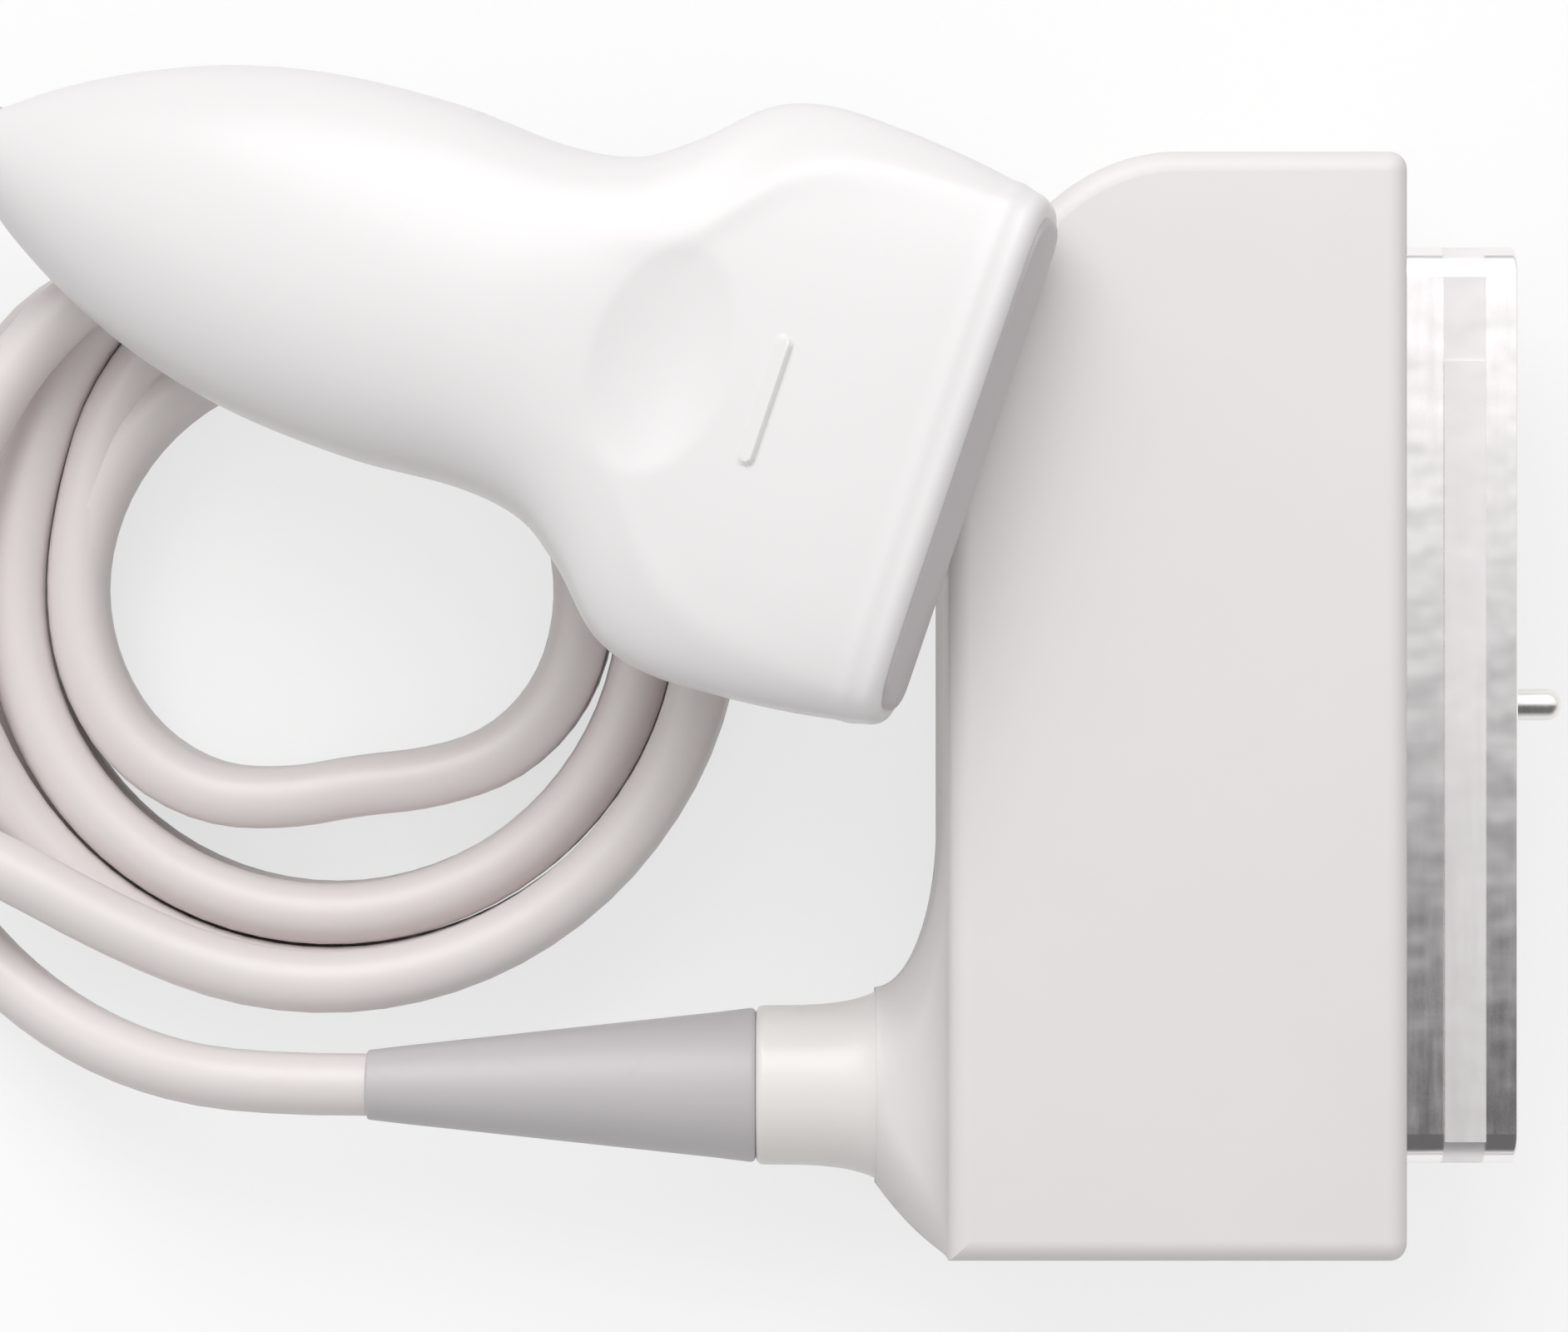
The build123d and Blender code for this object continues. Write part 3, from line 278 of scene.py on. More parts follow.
class CableSizes(bpy.types.PropertyGroup):
    diameter: length_setting("Diameter", "Outer diameter of the cable's jacket", 0.006)
    length: length_setting("Length", "Length of cable between the two strain reliefs", 1.62)
    ring_outer: length_setting(
        "Outer ring", "Radius of the coil's outer turns at the cable's middle", 0.0372
    )
    ring_step: length_setting(
        "Ring step", "Distance between turns that lie beside each other", 0.0062
    )
    layer_step: length_setting("Layer step", "Height between turns that lie on each other", 0.0062)
    inner_dip: length_setting(
        "Inner dip", "How far the inner turns sag into the coil's hole", 0.0065
    )


class HandleSizes(bpy.types.PropertyGroup):
    wall: length_setting("Wall", "Thickness of the moulded half shells", 0.0018)
    rim_round: length_setting("Rim round", "Radius of the shells' edge beside the lens", 0.00135)
    rim_reach: length_setting(
        "Rim reach", "How far the shells' rounded edge reaches round the lens", 0.0014
    )
    pocket_wall: length_setting("Pocket wall", "Thickness of the shells beside the lens", 0.00155)
    lip_proud: length_setting(
        "Lip height", "How far the soft lip behind the rim stands out", 0.00014
    )
    lip_behind: length_setting("Lip place", "Distance of the soft lip behind the rim", 0.0016)
    lip_spread: length_setting("Lip spread", "Half width of the soft lip", 0.0008)
    seam_depth: length_setting(
        "Seam depth", "Depth of the groove where the half shells meet", 0.00022
    )
    seam_spread: length_setting("Seam spread", "Half width of that groove", 0.00022)
    border_proud: length_setting(
        "Border height", "How far the border round the face stands up", 0.00012
    )
    border_low_share: share_setting(
        "Lower share", "Share of the border and band on the face's other side", 0.3
    )
    border_spread: length_setting(
        "Border spread", "Half width of the border round the face", 0.0019
    )
    dish_behind: length_setting("Dish place", "Distance of the thumb dish behind the rim", 0.0266)
    dish_length: length_setting("Dish length", "Size of the thumb dish along the handle", 0.0124)
    dish_width: length_setting("Dish width", "Size of the thumb dish across the handle", 0.0212)
    dish_depth: length_setting("Dish depth", "Depth of the thumb dish", 0.0007)
    ridge_behind: length_setting(
        "Ridge place", "Distance of the orientation ridge behind the rim", 0.0165
    )
    ridge_aside: length_setting(
        "Ridge aside", "How far the ridge's middle lies to the right of the face's", 0.0006
    )
    ridge_length: length_setting("Ridge length", "Length of the orientation ridge", 0.0120)
    ridge_width: length_setting("Ridge width", "Width of the orientation ridge", 0.0017)
    ridge_proud: length_setting(
        "Ridge height", "How far the ridge's edge towards the nose stands up", 0.0007
    )
    ridge_side: length_setting("Ridge side", "Width of the ridge's sloping sides", 0.0004)


class LensSizes(bpy.types.PropertyGroup):
    proud: length_setting("Crown", "How far the lens's middle stands out of the mouth", 0.0021)
    edge: length_setting(
        "Edge height", "How far the lens's long edges stand out of the mouth", 0.0016
    )
    rim_lip: length_setting("Rim lip", "How much of the shells' rim shows round the lens", 0.0016)
    edge_round: length_setting("Edge round", "Radius of the lens's long edges", 0.0003)
    end_round: length_setting("End round", "Radius of the lens's two ends", 0.0012)
    plug_depth: length_setting(
        "Plug depth", "Depth of the part of the lens inside the mouth", 0.0026
    )
    plug_inset: length_setting(
        "Plug inset", "How far that part stands in from the shells' outline", 0.0019
    )


class ReliefSizes(bpy.types.PropertyGroup):
    bore: length_setting("Bore", "Radius of the hole for the cable", 0.00305)
    tip_radius: length_setting("Tip radius", "Outer radius at the thin end", 0.00335)
    connector_root: length_setting(
        "Connector root", "Outer radius of the connector's cone at its collar", 0.00735
    )
    handle_root: length_setting(
        "Handle root", "Outer radius of the handle's cone at its tail", 0.0040
    )
    handle_length: length_setting("Handle cone", "Length of the cone on the handle's tail", 0.0140)
    edge_round: length_setting("Edge round", "Radius of the cones' edges", 0.0005)


class FlareSizes(bpy.types.PropertyGroup):
    root_x: length_setting("Root place", "X of the housing's face where the flare ends", -0.0211)
    length: length_setting("Length", "Length of the flare along the cable", 0.0064)
    tip_radius: length_setting("Tip radius", "Radius of the flare beside the collar", 0.00936)
    spread_side: length_setting(
        "Side spread", "How far the flare widens to the housing's broad faces", 0.0076
    )
    spread_up: length_setting(
        "Upward spread", "How far the flare widens along the housing's face", 0.0165
    )
    spread_down: length_setting(
        "Downward spread", "How far the flare widens to the housing's end", 0.00531
    )
    fullness: bpy.props.FloatProperty(
        name="Fullness", description="Power of the curve that the flare's lower side follows",
        default=1.6, min=1.0,
    )
    root_corner: length_setting(
        "Root corner", "Radius of the flare's corners at the housing", 0.0016
    )
    overlap: length_setting("Overlap", "How far the flare goes on inside the housing", 0.0012)
    sink: length_setting("Sink", "How far its two ends draw in under the pieces beside it", 0.00015)


class PartColours(bpy.types.PropertyGroup):
    housing: colour_setting(
        "Housing", "Warm white plastic of the connector housing", (0.835, 0.80, 0.795)
    )
    handle: colour_setting("Handle", "White plastic of the handle's shells", (0.85, 0.83, 0.83))
    collar: colour_setting("Collar", "Cream plastic of the cable collar", (0.90, 0.87, 0.845))
    relief: colour_setting(
        "Strain relief", "Grey elastomer of the strain reliefs", (0.60, 0.575, 0.59)
    )
    lens: colour_setting("Lens", "Grey silicone of the lens", (0.56, 0.53, 0.54))
    cable: colour_setting("Cable", "Pale pinkish jacket of the cable", (0.825, 0.77, 0.76))
    plating: colour_setting(
        "Plating", "Bright plating of the connector's shell", (0.93, 0.90, 0.905)
    )
    steel: colour_setting("Steel", "Ground steel of the guide pin", (0.88, 0.86, 0.83))
    gold: colour_setting("Gold", "Gold plating of the contacts", (0.83, 0.62, 0.27))
    insert: colour_setting("Insert", "Dark moulding that holds the contacts", (0.06, 0.06, 0.066))


class StudioSettings(bpy.types.PropertyGroup):
    key_power: bpy.props.FloatProperty(
        name="Key lamp", description="Power of the large soft lamp, in watts", default=2.5,
    )
    key_size: length_setting("Key size", "Side of the soft lamp", 0.5)
    key_place: bpy.props.FloatVectorProperty(
        name="Key place", description="Where the soft lamp stands", default=(-0.15, 0.45, 0.52),
        unit="LENGTH",
    )
    ambient: bpy.props.FloatProperty(
        name="Surroundings", description="Strength of the white light from all round",
        default=0.60,
    )
    ceiling_shade: share_setting(
        "Ceiling shade", "How dark the patch of ceiling is that metal reflects", 0.86
    )
    window_glow: bpy.props.FloatProperty(
        name="Window glow", description="How much brighter reflections of the far side's sky are",
        default=0.2, min=0.0,
    )
    horizon_shade: share_setting("Horizon shade", "How dark reflections get at the horizon", 0.55)
    floor_reach: length_setting("Floor", "Half the side of the pale floor", 3.0)
    floor_shade: share_setting("Floor shade", "Share of the floor's white that takes shadows", 0.32)


def smooth_step(value):
    """0 below 0, 1 above 1 and the cubic 3t^2 - 2t^3 between."""
    t = np.clip(value, 0.0, 1.0)
    return t * t * (3 - 2 * t)


def bell(distance, spread):
    """1 at no distance, falling as e to the minus square of distance over spread."""
    return np.exp(-((distance / spread) ** 2))


def spaced(*stretches):
    """Places along a line from 0. Each stretch is (its end, its number of even steps)."""
    places = [np.zeros(1)]
    start = 0.0
    for end, steps in stretches:
        places.append(np.linspace(start, end, steps + 1)[1:])
        start = end
    return np.concatenate(places)


def follow(table, places):
    """Each column of a table after the first, at places along the first.

    Between two rows a value follows the cubic whose end slopes are those of the chords beside it.
    """
    rows = np.array(table)
    key, values = rows[:, 0], rows[:, 1:]
    order = np.arange(len(key))
    before, after = np.maximum(order - 1, 0), np.minimum(order + 1, len(key) - 1)
    slopes = (values[after] - values[before]) / (key[after] - key[before])[:, None]
    here = np.clip(np.searchsorted(key, places, side="right") - 1, 0, len(key) - 2)
    span = (key[here + 1] - key[here])[:, None]
    t = (places - key[here])[:, None] / span
    found = (
        values[here] * (1 + 2 * t) * (1 - t) ** 2
        + slopes[here] * span * t * (1 - t) ** 2
        + values[here + 1] * t**2 * (3 - 2 * t)
        - slopes[here + 1] * span * t**2 * (1 - t)
    )
    return found.T


def section(half_width, half_thick, fullness, share):
    """Half outline of the handle. share runs from 0 at one edge over 1 at the middle to 2.

    Each quarter is the cubic Bezier curve (w, 0), (w, k t), (k w, t), (0, t), with half width w,
    half thickness t and fullness k.
    """
    s = np.where(share <= 1, share, 2 - share)
    r = 1 - s
    side = np.where(share <= 1, 1.0, -1.0)
    y = side * half_width * (r**3 + 3 * r**2 * s + 3 * r * s**2 * fullness)
    z = half_thick * (3 * r**2 * s * fullness + 3 * r * s**2 + s**3)
    return y, z


def outline_shares(columns):
    """Shares along a half outline whose points lie at the given distances in from its edge.

    The distances are measured along the head's own quarter outline and scaled to end in the
    middle, and the second quarter mirrors the first.
    """
    share = np.linspace(0, 1, SPACING_SAMPLES)
    y, z = section(*SPACING_STATION[1:], share)
    length = np.concatenate(([0.0], np.cumsum(np.hypot(np.diff(y), np.diff(z)))))
    first = np.interp(columns * length[-1] / columns[-1], length, share)
    return np.concatenate((first, 2 - first[-2::-1]))


def grid_faces(rows, columns):
    """Quads between neighbouring closed rows of points, whose last column joins the first."""
    row = np.arange(rows - 1)[:, None] * columns
    here = np.arange(columns)[None, :]
    there = (here + 1) % columns
    quads = np.stack((row + here, row + there, row + columns + there, row + columns + here), -1)
    return quads.reshape(-1, 4)


def link(context, name, data):
    """An object in the scene that holds a mesh, a curve, a lamp or a camera."""
    made = bpy.data.objects.new(name, data)
    context.scene.collection.objects.link(made)
    return made


def add_piece(context, name, points, faces, made_of):
    """Link a mesh at the origin, with doubled points merged and all its faces turned outwards."""
    mesh = bpy.data.meshes.new(name)
    mesh.from_pydata(points.reshape(-1, 3).tolist(), [], faces)
    work = bmesh.new()
    work.from_mesh(mesh)
    bmesh.ops.remove_doubles(work, verts=work.verts, dist=WELD)
    bmesh.ops.recalc_face_normals(work, faces=work.faces)
    work.to_mesh(mesh)
    work.free()
    mesh.shade_smooth()
    mesh.set_sharp_from_angle(angle=SHARP_ANGLE)
    mesh.materials.append(made_of)
    piece = link(context, name, mesh)
    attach(piece, "root")
    return piece


def handle_frame():
    """Nose rim's centre and the directions to the nose, to the left edge and up out of the face."""
    front, axis = lens_mount()
    origin = front - axis * bpy.context.scene.lens_sizes.proud
    side = Vector((0, 0, 1)).cross(axis).normalized()
    return origin, axis, side, axis.cross(side)


def from_handle(x, y, z):
    """Points given along the handle's three directions, in the shared frame."""
    origin, axis, side, up = (np.array(v) for v in handle_frame())
    return origin + x[..., None] * axis + y[..., None] * side + z[..., None] * up


def face_relief(sizes, distance, y, z, half_width, half_thick):
    """Height that the upper face gains: border, sloped band, thumb dish and orientation ridge.

    The border is a bell across its line, and the band outside it falls by a smooth step. The dish
    is 1 less the square of an elliptic radius, softly cut off at its rim. The ridge is a smooth
    step in the distance from a straight segment across the face, and rises towards the nose.
    """
    d = distance[:, None]
    border, fall = (v[:, None] for v in follow(FACE_BORDER, distance))
    upper = np.clip(z / half_thick, 0, 1)
    fall = fall * np.where(y > 0, 1.0, sizes.border_low_share)
    outside = np.abs(y) - border
    room = np.maximum(half_width - border, sizes.border_spread)
    band = -fall * smooth_step(outside / room)
    strength = np.clip(fall / sizes.dish_depth, 0, 1)
    rib = sizes.border_proud * strength * bell(outside, sizes.border_spread)
    along = (d - sizes.dish_behind) / (sizes.dish_length / 2)
    across = y / (sizes.dish_width / 2)
    bowl = 1 - along**2 - across**2
    dish = -sizes.dish_depth * (bowl + np.sqrt(bowl**2 + DISH_SOFTNESS**2)) / 2
    reach = (sizes.ridge_length - sizes.ridge_width) / 2
    aside = np.maximum(np.abs(y + sizes.ridge_aside) - reach, 0)
    edge = np.hypot(d - sizes.ridge_behind, aside) - sizes.ridge_width / 2
    wedge = np.clip(0.5 + (sizes.ridge_behind - d) / sizes.ridge_width, 0, 1)
    ridge = sizes.ridge_proud * wedge * (1 - smooth_step(edge / sizes.ridge_side + RIDGE_START))
    return upper * (band + rib + dish) + ridge


def outer_half(sizes, side, distance, shares):
    """Outer surface of one half shell, as handle y and z for each distance and share.

    The section shrinks round the rim along a quarter circle, swells at the lip, and draws in as
    a bell at the seam. The upper half also gets the relief of its face. Distances below 0 lie in
    the rim that reaches round the lens.
    """
    half_width, half_thick, fullness = (v[:, None] for v in follow(HANDLE_STATIONS, distance))
    d = distance[:, None]
    from_rim = np.clip(sizes.rim_round - sizes.rim_reach - d, 0, None)
    inset = sizes.rim_round - np.sqrt(sizes.rim_round**2 - from_rim**2)
    grow = sizes.lip_proud * bell(d - sizes.lip_behind, sizes.lip_spread) - inset
    y, z = section(half_width + grow, half_thick + grow, fullness, shares[None, :])
    if side > 0:
        z = z + face_relief(sizes, distance, y, z, half_width, half_thick)
    y = y - np.sign(y) * sizes.seam_depth * bell(z, sizes.seam_spread)
    return y, side * np.maximum(z, PARTING)


def inner_half(sizes, bore, side, distance, shares):
    """Inner surface: the section less the wall as far as the cavity goes, then the cable's bore.

    The wall is thinner round the lens, at distances below 0.
    """
    half_width, half_thick, fullness = (v[:, None] for v in follow(HANDLE_STATIONS, distance))
    hollow = (distance <= CAVITY_END)[:, None]
    wall = np.where(distance < 0, sizes.pocket_wall, sizes.wall)[:, None]
    wide = np.where(hollow, half_width - wall, bore)
    thick = np.where(hollow, half_thick - wall, bore)
    y, z = section(wide, thick, fullness, shares[None, :])
    return y, side * np.maximum(z, PARTING)


def half_shell(sizes, bore, side, distance, shares):
    """Closed half shell: outer and inner surface, joined at the parting plane and at both ends.

    Each row runs over the outer surface and back over the inner one, and the two ends are closed
    by quads between a point and its like on the other surface.
    """
    outer = outer_half(sizes, side, distance, shares)
    inner = inner_half(sizes, bore, side, distance, shares)
    y, z = (np.concatenate((a, b[:, ::-1]), axis=1) for a, b in zip(outer, inner))
    x = np.repeat(-distance[:, None], y.shape[1], axis=1)
    rows, columns = y.shape
    first = np.arange(len(shares) - 1)
    last = columns - 1 - first
    cap = np.stack((first, first + 1, last - 1, last), -1)
    faces = np.concatenate((grid_faces(rows, columns), cap, cap + (rows - 1) * columns))
    return from_handle(x, y, z), faces.tolist()


def rim_rows(sizes):
    """Distances of the rows round the rim, at equal steps along its quarter circle."""
    turn = np.linspace(0, np.pi / 2, RIM_ROWS)
    return sizes.rim_round * (1 - np.cos(turn)) - sizes.rim_reach


class PROBE_OT_handle(bpy.types.Operator):
    """Make the two hollow half shells of the handle, with the face's border, dish and ridge"""

    bl_idname = "probe.handle"
    bl_label = "Handle shells"

    def execute(self, context):
        sizes, bore = context.scene.handle_sizes, context.scene.relief_sizes.bore
        ridge = sizes.ridge_behind
        upper_rows = (
            (NOSE_END, 18), (ridge - RIDGE_REACH, 22), (ridge + RIDGE_REACH, 28), (HEAD_END, 56),
            (CAVITY_END, 60), *TAIL_ROWS,
        )
        finish = handle_plastic(context)
        for half, side, rows, columns in (
            ("upper", 1, upper_rows, UPPER_COLUMNS),
            ("lower", -1, LOWER_ROWS, LOWER_COLUMNS),
        ):
            distance = np.concatenate((rim_rows(sizes), spaced(*rows)))
            shares = outline_shares(spaced(*columns))
            points, faces = half_shell(sizes, bore, side, distance, shares)
            piece = add_piece(context, f"handle_{half}", points, faces, finish)
            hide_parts(f"handle_shell_{half}")
        return {"FINISHED"}


def lens_surface(sizes, shares):
    """Loops of the lens from the back of its plug over its crown to a line along its middle.

    The front is a cylinder across the lens: crown less R - sqrt(R^2 - z^2). Each edge loop moves
    in by r (1 - cos a) and stops r (1 - sin a) short of the front, and the crown's loops scale
    the outline towards its middle line. The radius r grows by a smooth step towards both ends.
    """
    _, half_width, half_thick, fullness = HANDLE_STATIONS[0]
    half = half_thick - sizes.rim_lip
    sag = sizes.proud - sizes.edge
    radius = (half**2 + sag**2) / (2 * sag)
    turn = np.linspace(0, np.pi / 2, LENS_EDGE_ROWS)
    scale = np.linspace(1, 0, LENS_CROWN_ROWS)[1:]
    back_inset = [sizes.plug_inset, sizes.plug_inset, sizes.rim_lip]
    back = len(back_inset)
    front_inset = np.full(len(turn) + len(scale), sizes.rim_lip)
    inset = np.concatenate((back_inset, front_inset))[:, None]
    upper_y, upper_z = section(half_width - inset, half_thick - inset, fullness, shares[None, :])
    y = np.concatenate((upper_y, -upper_y[:, 1:-1]), axis=1)
    z = np.concatenate((upper_z, -upper_z[:, 1:-1]), axis=1)
    outward = np.abs(y[back]) / (half_width - sizes.rim_lip)
    at_end = smooth_step((outward - LENS_END_START) / LENS_END_STRETCH)
    edge_round = sizes.edge_round + (sizes.end_round - sizes.edge_round) * at_end
    bend = np.concatenate((turn, np.full(len(scale), np.pi / 2)))[:, None]
    shrink = np.concatenate((np.ones(len(turn)), scale))[:, None]
    move = edge_round * (1 - np.cos(bend))
    outline_y, outline_z = y[back:], z[back:]
    size = np.hypot(outline_y / half_width, outline_z / half_thick)
    pull = 1 - move / (half * np.maximum(size, LEAST_RADIUS))
    front_z = outline_z * pull * shrink
    front_y = outline_y - np.sign(outline_y) * np.minimum(move, np.abs(outline_y))
    front_y = front_y * (1 - (1 - shrink) * half_thick / half_width)
    front_x = sizes.proud - radius + np.sqrt(radius**2 - front_z**2)
    front_x = np.maximum(front_x - edge_round * (1 - np.sin(bend)), 0)
    back_x = np.array([-sizes.plug_depth, 0, 0])[:, None] * np.ones_like(y[:back])
    x = np.concatenate((back_x, front_x))
    y = np.concatenate((y[:back], front_y))
    z = np.concatenate((z[:back], front_z))
    return from_handle(x, y, z)


def lens_faces(rows, columns):
    """Quads of the lens's loops, and its flat back: quads across it with a triangle at each end."""
    half = columns // 2
    first = np.arange(half)
    opposite = (columns - first) % columns
    back = np.stack((first, first + 1, opposite - 1, opposite), -1)
    faces = np.concatenate((grid_faces(rows, columns), back[1:-1])).tolist()
    return [*faces, [0, 1, columns - 1], [half - 1, half, half + 1]]


class PROBE_OT_lens(bpy.types.Operator):
    """Make the silicone lens with its cylindrical crown and its plug in the mouth"""

    bl_idname = "probe.lens"
    bl_label = "Lens"

    def execute(self, context):
        shares = outline_shares(spaced(*LENS_COLUMNS))
        points = lens_surface(context.scene.lens_sizes, shares)
        faces = lens_faces(*points.shape[:2])
        piece = add_piece(context, "lens", points, faces, lens_silicone(context))
        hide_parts("acoustic_lens")
        return {"FINISHED"}


def flare_surface(sizes, middle_z):
    """Loops of the cable boss's flare, from the collar to just inside the housing.

    Each loop is a rounded rectangle. Its sides and upper edge widen along a quarter ellipse, and
    its lower edge by 1 less a power of the share of the way to the collar, so it runs into the
    housing's end without a corner.
    """
    share = np.linspace(1, 0, FLARE_ROWS) ** 2
    spread = 1 - np.sqrt(1 - (1 - share) ** 2)
    side = sizes.tip_radius + sizes.spread_side * spread
    up = sizes.tip_radius + sizes.spread_up * spread
    down = sizes.tip_radius + sizes.spread_down * (1 - share**sizes.fullness)
    corner = sizes.root_corner + (sizes.tip_radius - sizes.root_corner) * np.sqrt(share)
    x = sizes.root_x - sizes.length * share
    loops = np.stack((x, side, up, down, corner), -1)
    first, last = loops[0].copy(), loops[-1].copy()
    first[1:4] -= sizes.sink
    last[1:4] -= sizes.sink
    last[0] += sizes.overlap
    x, side, up, down, corner = np.concatenate(([first], loops, [last])).T[:, :, None]
    corner = np.minimum(corner, np.minimum(side, (up + down) / 2))
    quarter = np.repeat(np.arange(4), CORNER_POINTS)[None, :]
    turn = np.tile(np.linspace(0, np.pi / 2, CORNER_POINTS), 4)[None, :] + quarter * np.pi / 2
    to_up = np.where(quarter % 3 == 0, 1, -1)
    to_top = np.where(quarter < 2, 1, -1)
    reach = np.where(to_up > 0, up, down)
    y = BOSS_Y + to_up * (reach - corner) + corner * np.cos(turn)
    z = middle_z + to_top * (side - corner) + corner * np.sin(turn)
    return np.stack(np.broadcast_arrays(x, y, z), -1)


class PROBE_OT_flare(bpy.types.Operator):
    """Make the flare that carries the cable boss over into the housing's end"""

    bl_idname = "probe.flare"
    bl_label = "Boss flare"

    def execute(self, context):
        points = flare_surface(context.scene.flare_sizes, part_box("housing_front")[0].z)
        faces = grid_faces(*points.shape[:2]).tolist()
        add_piece(context, "boss_flare", points, faces, housing_plastic(context))
        return {"FINISHED"}


def turned(profile, origin, axis):
    """Points of a closed profile (place along, radius) turned about an axis.

    A point is origin + along axis + radius (cos a side + sin a up).
    """
    along, radius = (np.array(v)[:, None, None] for v in zip(*profile))
    side = axis.orthogonal().normalized()
    up = axis.cross(side)
    angle = np.linspace(0, 2 * np.pi, TURN_STEPS, endpoint=False)[None, :, None]
    ring = np.cos(angle) * np.array(side) + np.sin(angle) * np.array(up)
    return np.array(origin) + along * np.array(axis) + radius * ring


def cone_profile(sizes, length, root):
    """Profile of a hollow cone from its root at 0 to its tip, with both outer edges rounded."""
    r = sizes.edge_round
    tip_round = min(r, sizes.tip_radius - sizes.bore)
    turn = np.linspace(0, np.pi / 2, EDGE_ROWS)
    root_edge = [(r * (1 - math.cos(a)), root - r * (1 - math.sin(a))) for a in turn]
    shares = np.linspace(CONE_START, CONE_END, CONE_ROWS)
    body = [(length * s, root + (sizes.tip_radius - root) * s) for s in shares]
    tip_edge = [
        (length - tip_round * (1 - math.sin(a)), sizes.tip_radius - tip_round * (1 - math.cos(a)))
        for a in turn
    ]
    root_bore, tip_bore = (0.0, sizes.bore), (length, sizes.bore)
    return [root_bore, *root_edge, *body, *tip_edge, tip_bore, root_bore]


def connector_relief_ends():
    """Root and tip of the connector's strain relief, on the axis of the boss."""
    low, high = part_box("connector_strain_relief")
    middle_z = (low.z + high.z) / 2
    return Vector((high.x, BOSS_Y, middle_z)), Vector((low.x, BOSS_Y, middle_z))


class PROBE_OT_reliefs(bpy.types.Operator):
    """Turn the two rubber strain reliefs round the cable"""

    bl_idname = "probe.reliefs"
    bl_label = "Strain reliefs"

    def execute(self, context):
        sizes = context.scene.relief_sizes
        origin, axis, _, _ = handle_frame()
        root, tip = connector_relief_ends()
        finish = relief_rubber(context)
        for name, start, way, length, radius in (
            ("connector_relief", root, Vector((-1, 0, 0)), root.x - tip.x, sizes.connector_root),
            ("handle_relief", origin - axis * HANDLE_LENGTH, -axis, sizes.handle_length,
             sizes.handle_root),
        ):
            points = turned(cone_profile(sizes, length, radius), start, way)
            faces = grid_faces(*points.shape[:2]).tolist()
            piece = add_piece(context, name, points, faces, finish)
            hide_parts(name.replace("relief", "strain_relief"))
        return {"FINISHED"}


def coil_points(sizes, start, end):
    """Control points of the coil from one angle to another, in degrees, counted on through turns.

    Ring and layer step smoothly from one turn's to the next over TURN_CHANGE degrees. The radius
    is the ring's, less a bell-shaped dip at the bottom of the inner ring, and is divided by the
    cosine of half a step, because the spline runs inside its control polygon.
    """
    step = 360.0 / POINTS_PER_TURN
    count = round((end - start) / step) + 1
    angle = np.linspace(start, end, count)
    _, first_ring, first_layer = COIL_TURNS[0]
    ring = np.full(count, float(first_ring))
    layer = np.full(count, float(first_layer))
    for before, after in zip(COIL_TURNS, COIL_TURNS[1:]):
        changed, ring_step, layer_step = before[0], after[1] - before[1], after[2] - before[2]
        share = smooth_step((angle - changed) / TURN_CHANGE)
        ring += share * ring_step
        layer += share * layer_step
    dip = sizes.inner_dip * bell(angle % 360.0 - DIP_ANGLE, DIP_SPREAD) * np.clip(ring - 1, 0, 1)
    radius = (sizes.ring_outer - sizes.ring_step * ring - dip) / math.cos(math.radians(step / 2))
    turn = np.radians(angle)
    x = COIL_CENTRE[0] + radius * np.cos(turn)
    y = COIL_CENTRE[1] + radius * np.sin(turn)
    z = sizes.diameter / 2 + FLOOR_GAP + sizes.layer_step * layer
    return list(zip(x.tolist(), y.tolist(), z.tolist()))


def cable_route(context):
    """All the cable's control points, from the handle's strain relief to the connector's."""
    origin, axis, _, _ = handle_frame()
    tip = origin - axis * (HANDLE_LENGTH + context.scene.relief_sizes.handle_length)
    _, relief_tip = connector_relief_ends()
    points = [tuple(tip), tuple(tip - axis * FIRST_RUN), *HANDLE_RUN]
    points += coil_points(context.scene.cable_sizes, COIL_START, COIL_TURNS[-1][0])
    points += CONNECTOR_RUN
    points += [tuple(relief_tip - Vector((FIRST_RUN, 0, 0))), tuple(relief_tip)]
    return points


class PROBE_OT_cable(bpy.types.Operator):
    """Lay the cable from the handle through its coil to the connector"""

    bl_idname = "probe.cable"
    bl_label = "Cable"

    def execute(self, context):
        sizes = context.scene.cable_sizes
        points = cable_route(context)
        curve = bpy.data.curves.new("cable", "CURVE")
        curve.dimensions = "3D"
        curve.bevel_depth = sizes.diameter / 2
        curve.bevel_resolution = CABLE_BEVEL
        curve.resolution_u = CABLE_STEPS
        curve.use_fill_caps = True
        spline = curve.splines.new("NURBS")
        spline.points.add(len(points) - 1)
        for point, place in zip(spline.points, points):
            point.co = (*place, 1)
        spline.order_u = 3
        spline.use_endpoint_u = True
        cable = link(context, "cable", curve)
        curve.materials.append(cable_jacket(context))
        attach(cable, "root")
        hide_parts("cable_handle_run", "cable_coil", "cable_connector_run")
        return {"FINISHED"}


def add(tree, kind, inputs=None, **settings):
    """Add a shader node with its settings, and give each named input a value or a link."""
    node = tree.nodes.new("ShaderNode" + kind)
    for name, value in settings.items():
        setattr(node, name, value)
    for name, value in (inputs or {}).items():
        if isinstance(value, bpy.types.NodeSocket):
            tree.links.new(value, node.inputs[name])
        else:
            node.inputs[name].default_value = value
    return node


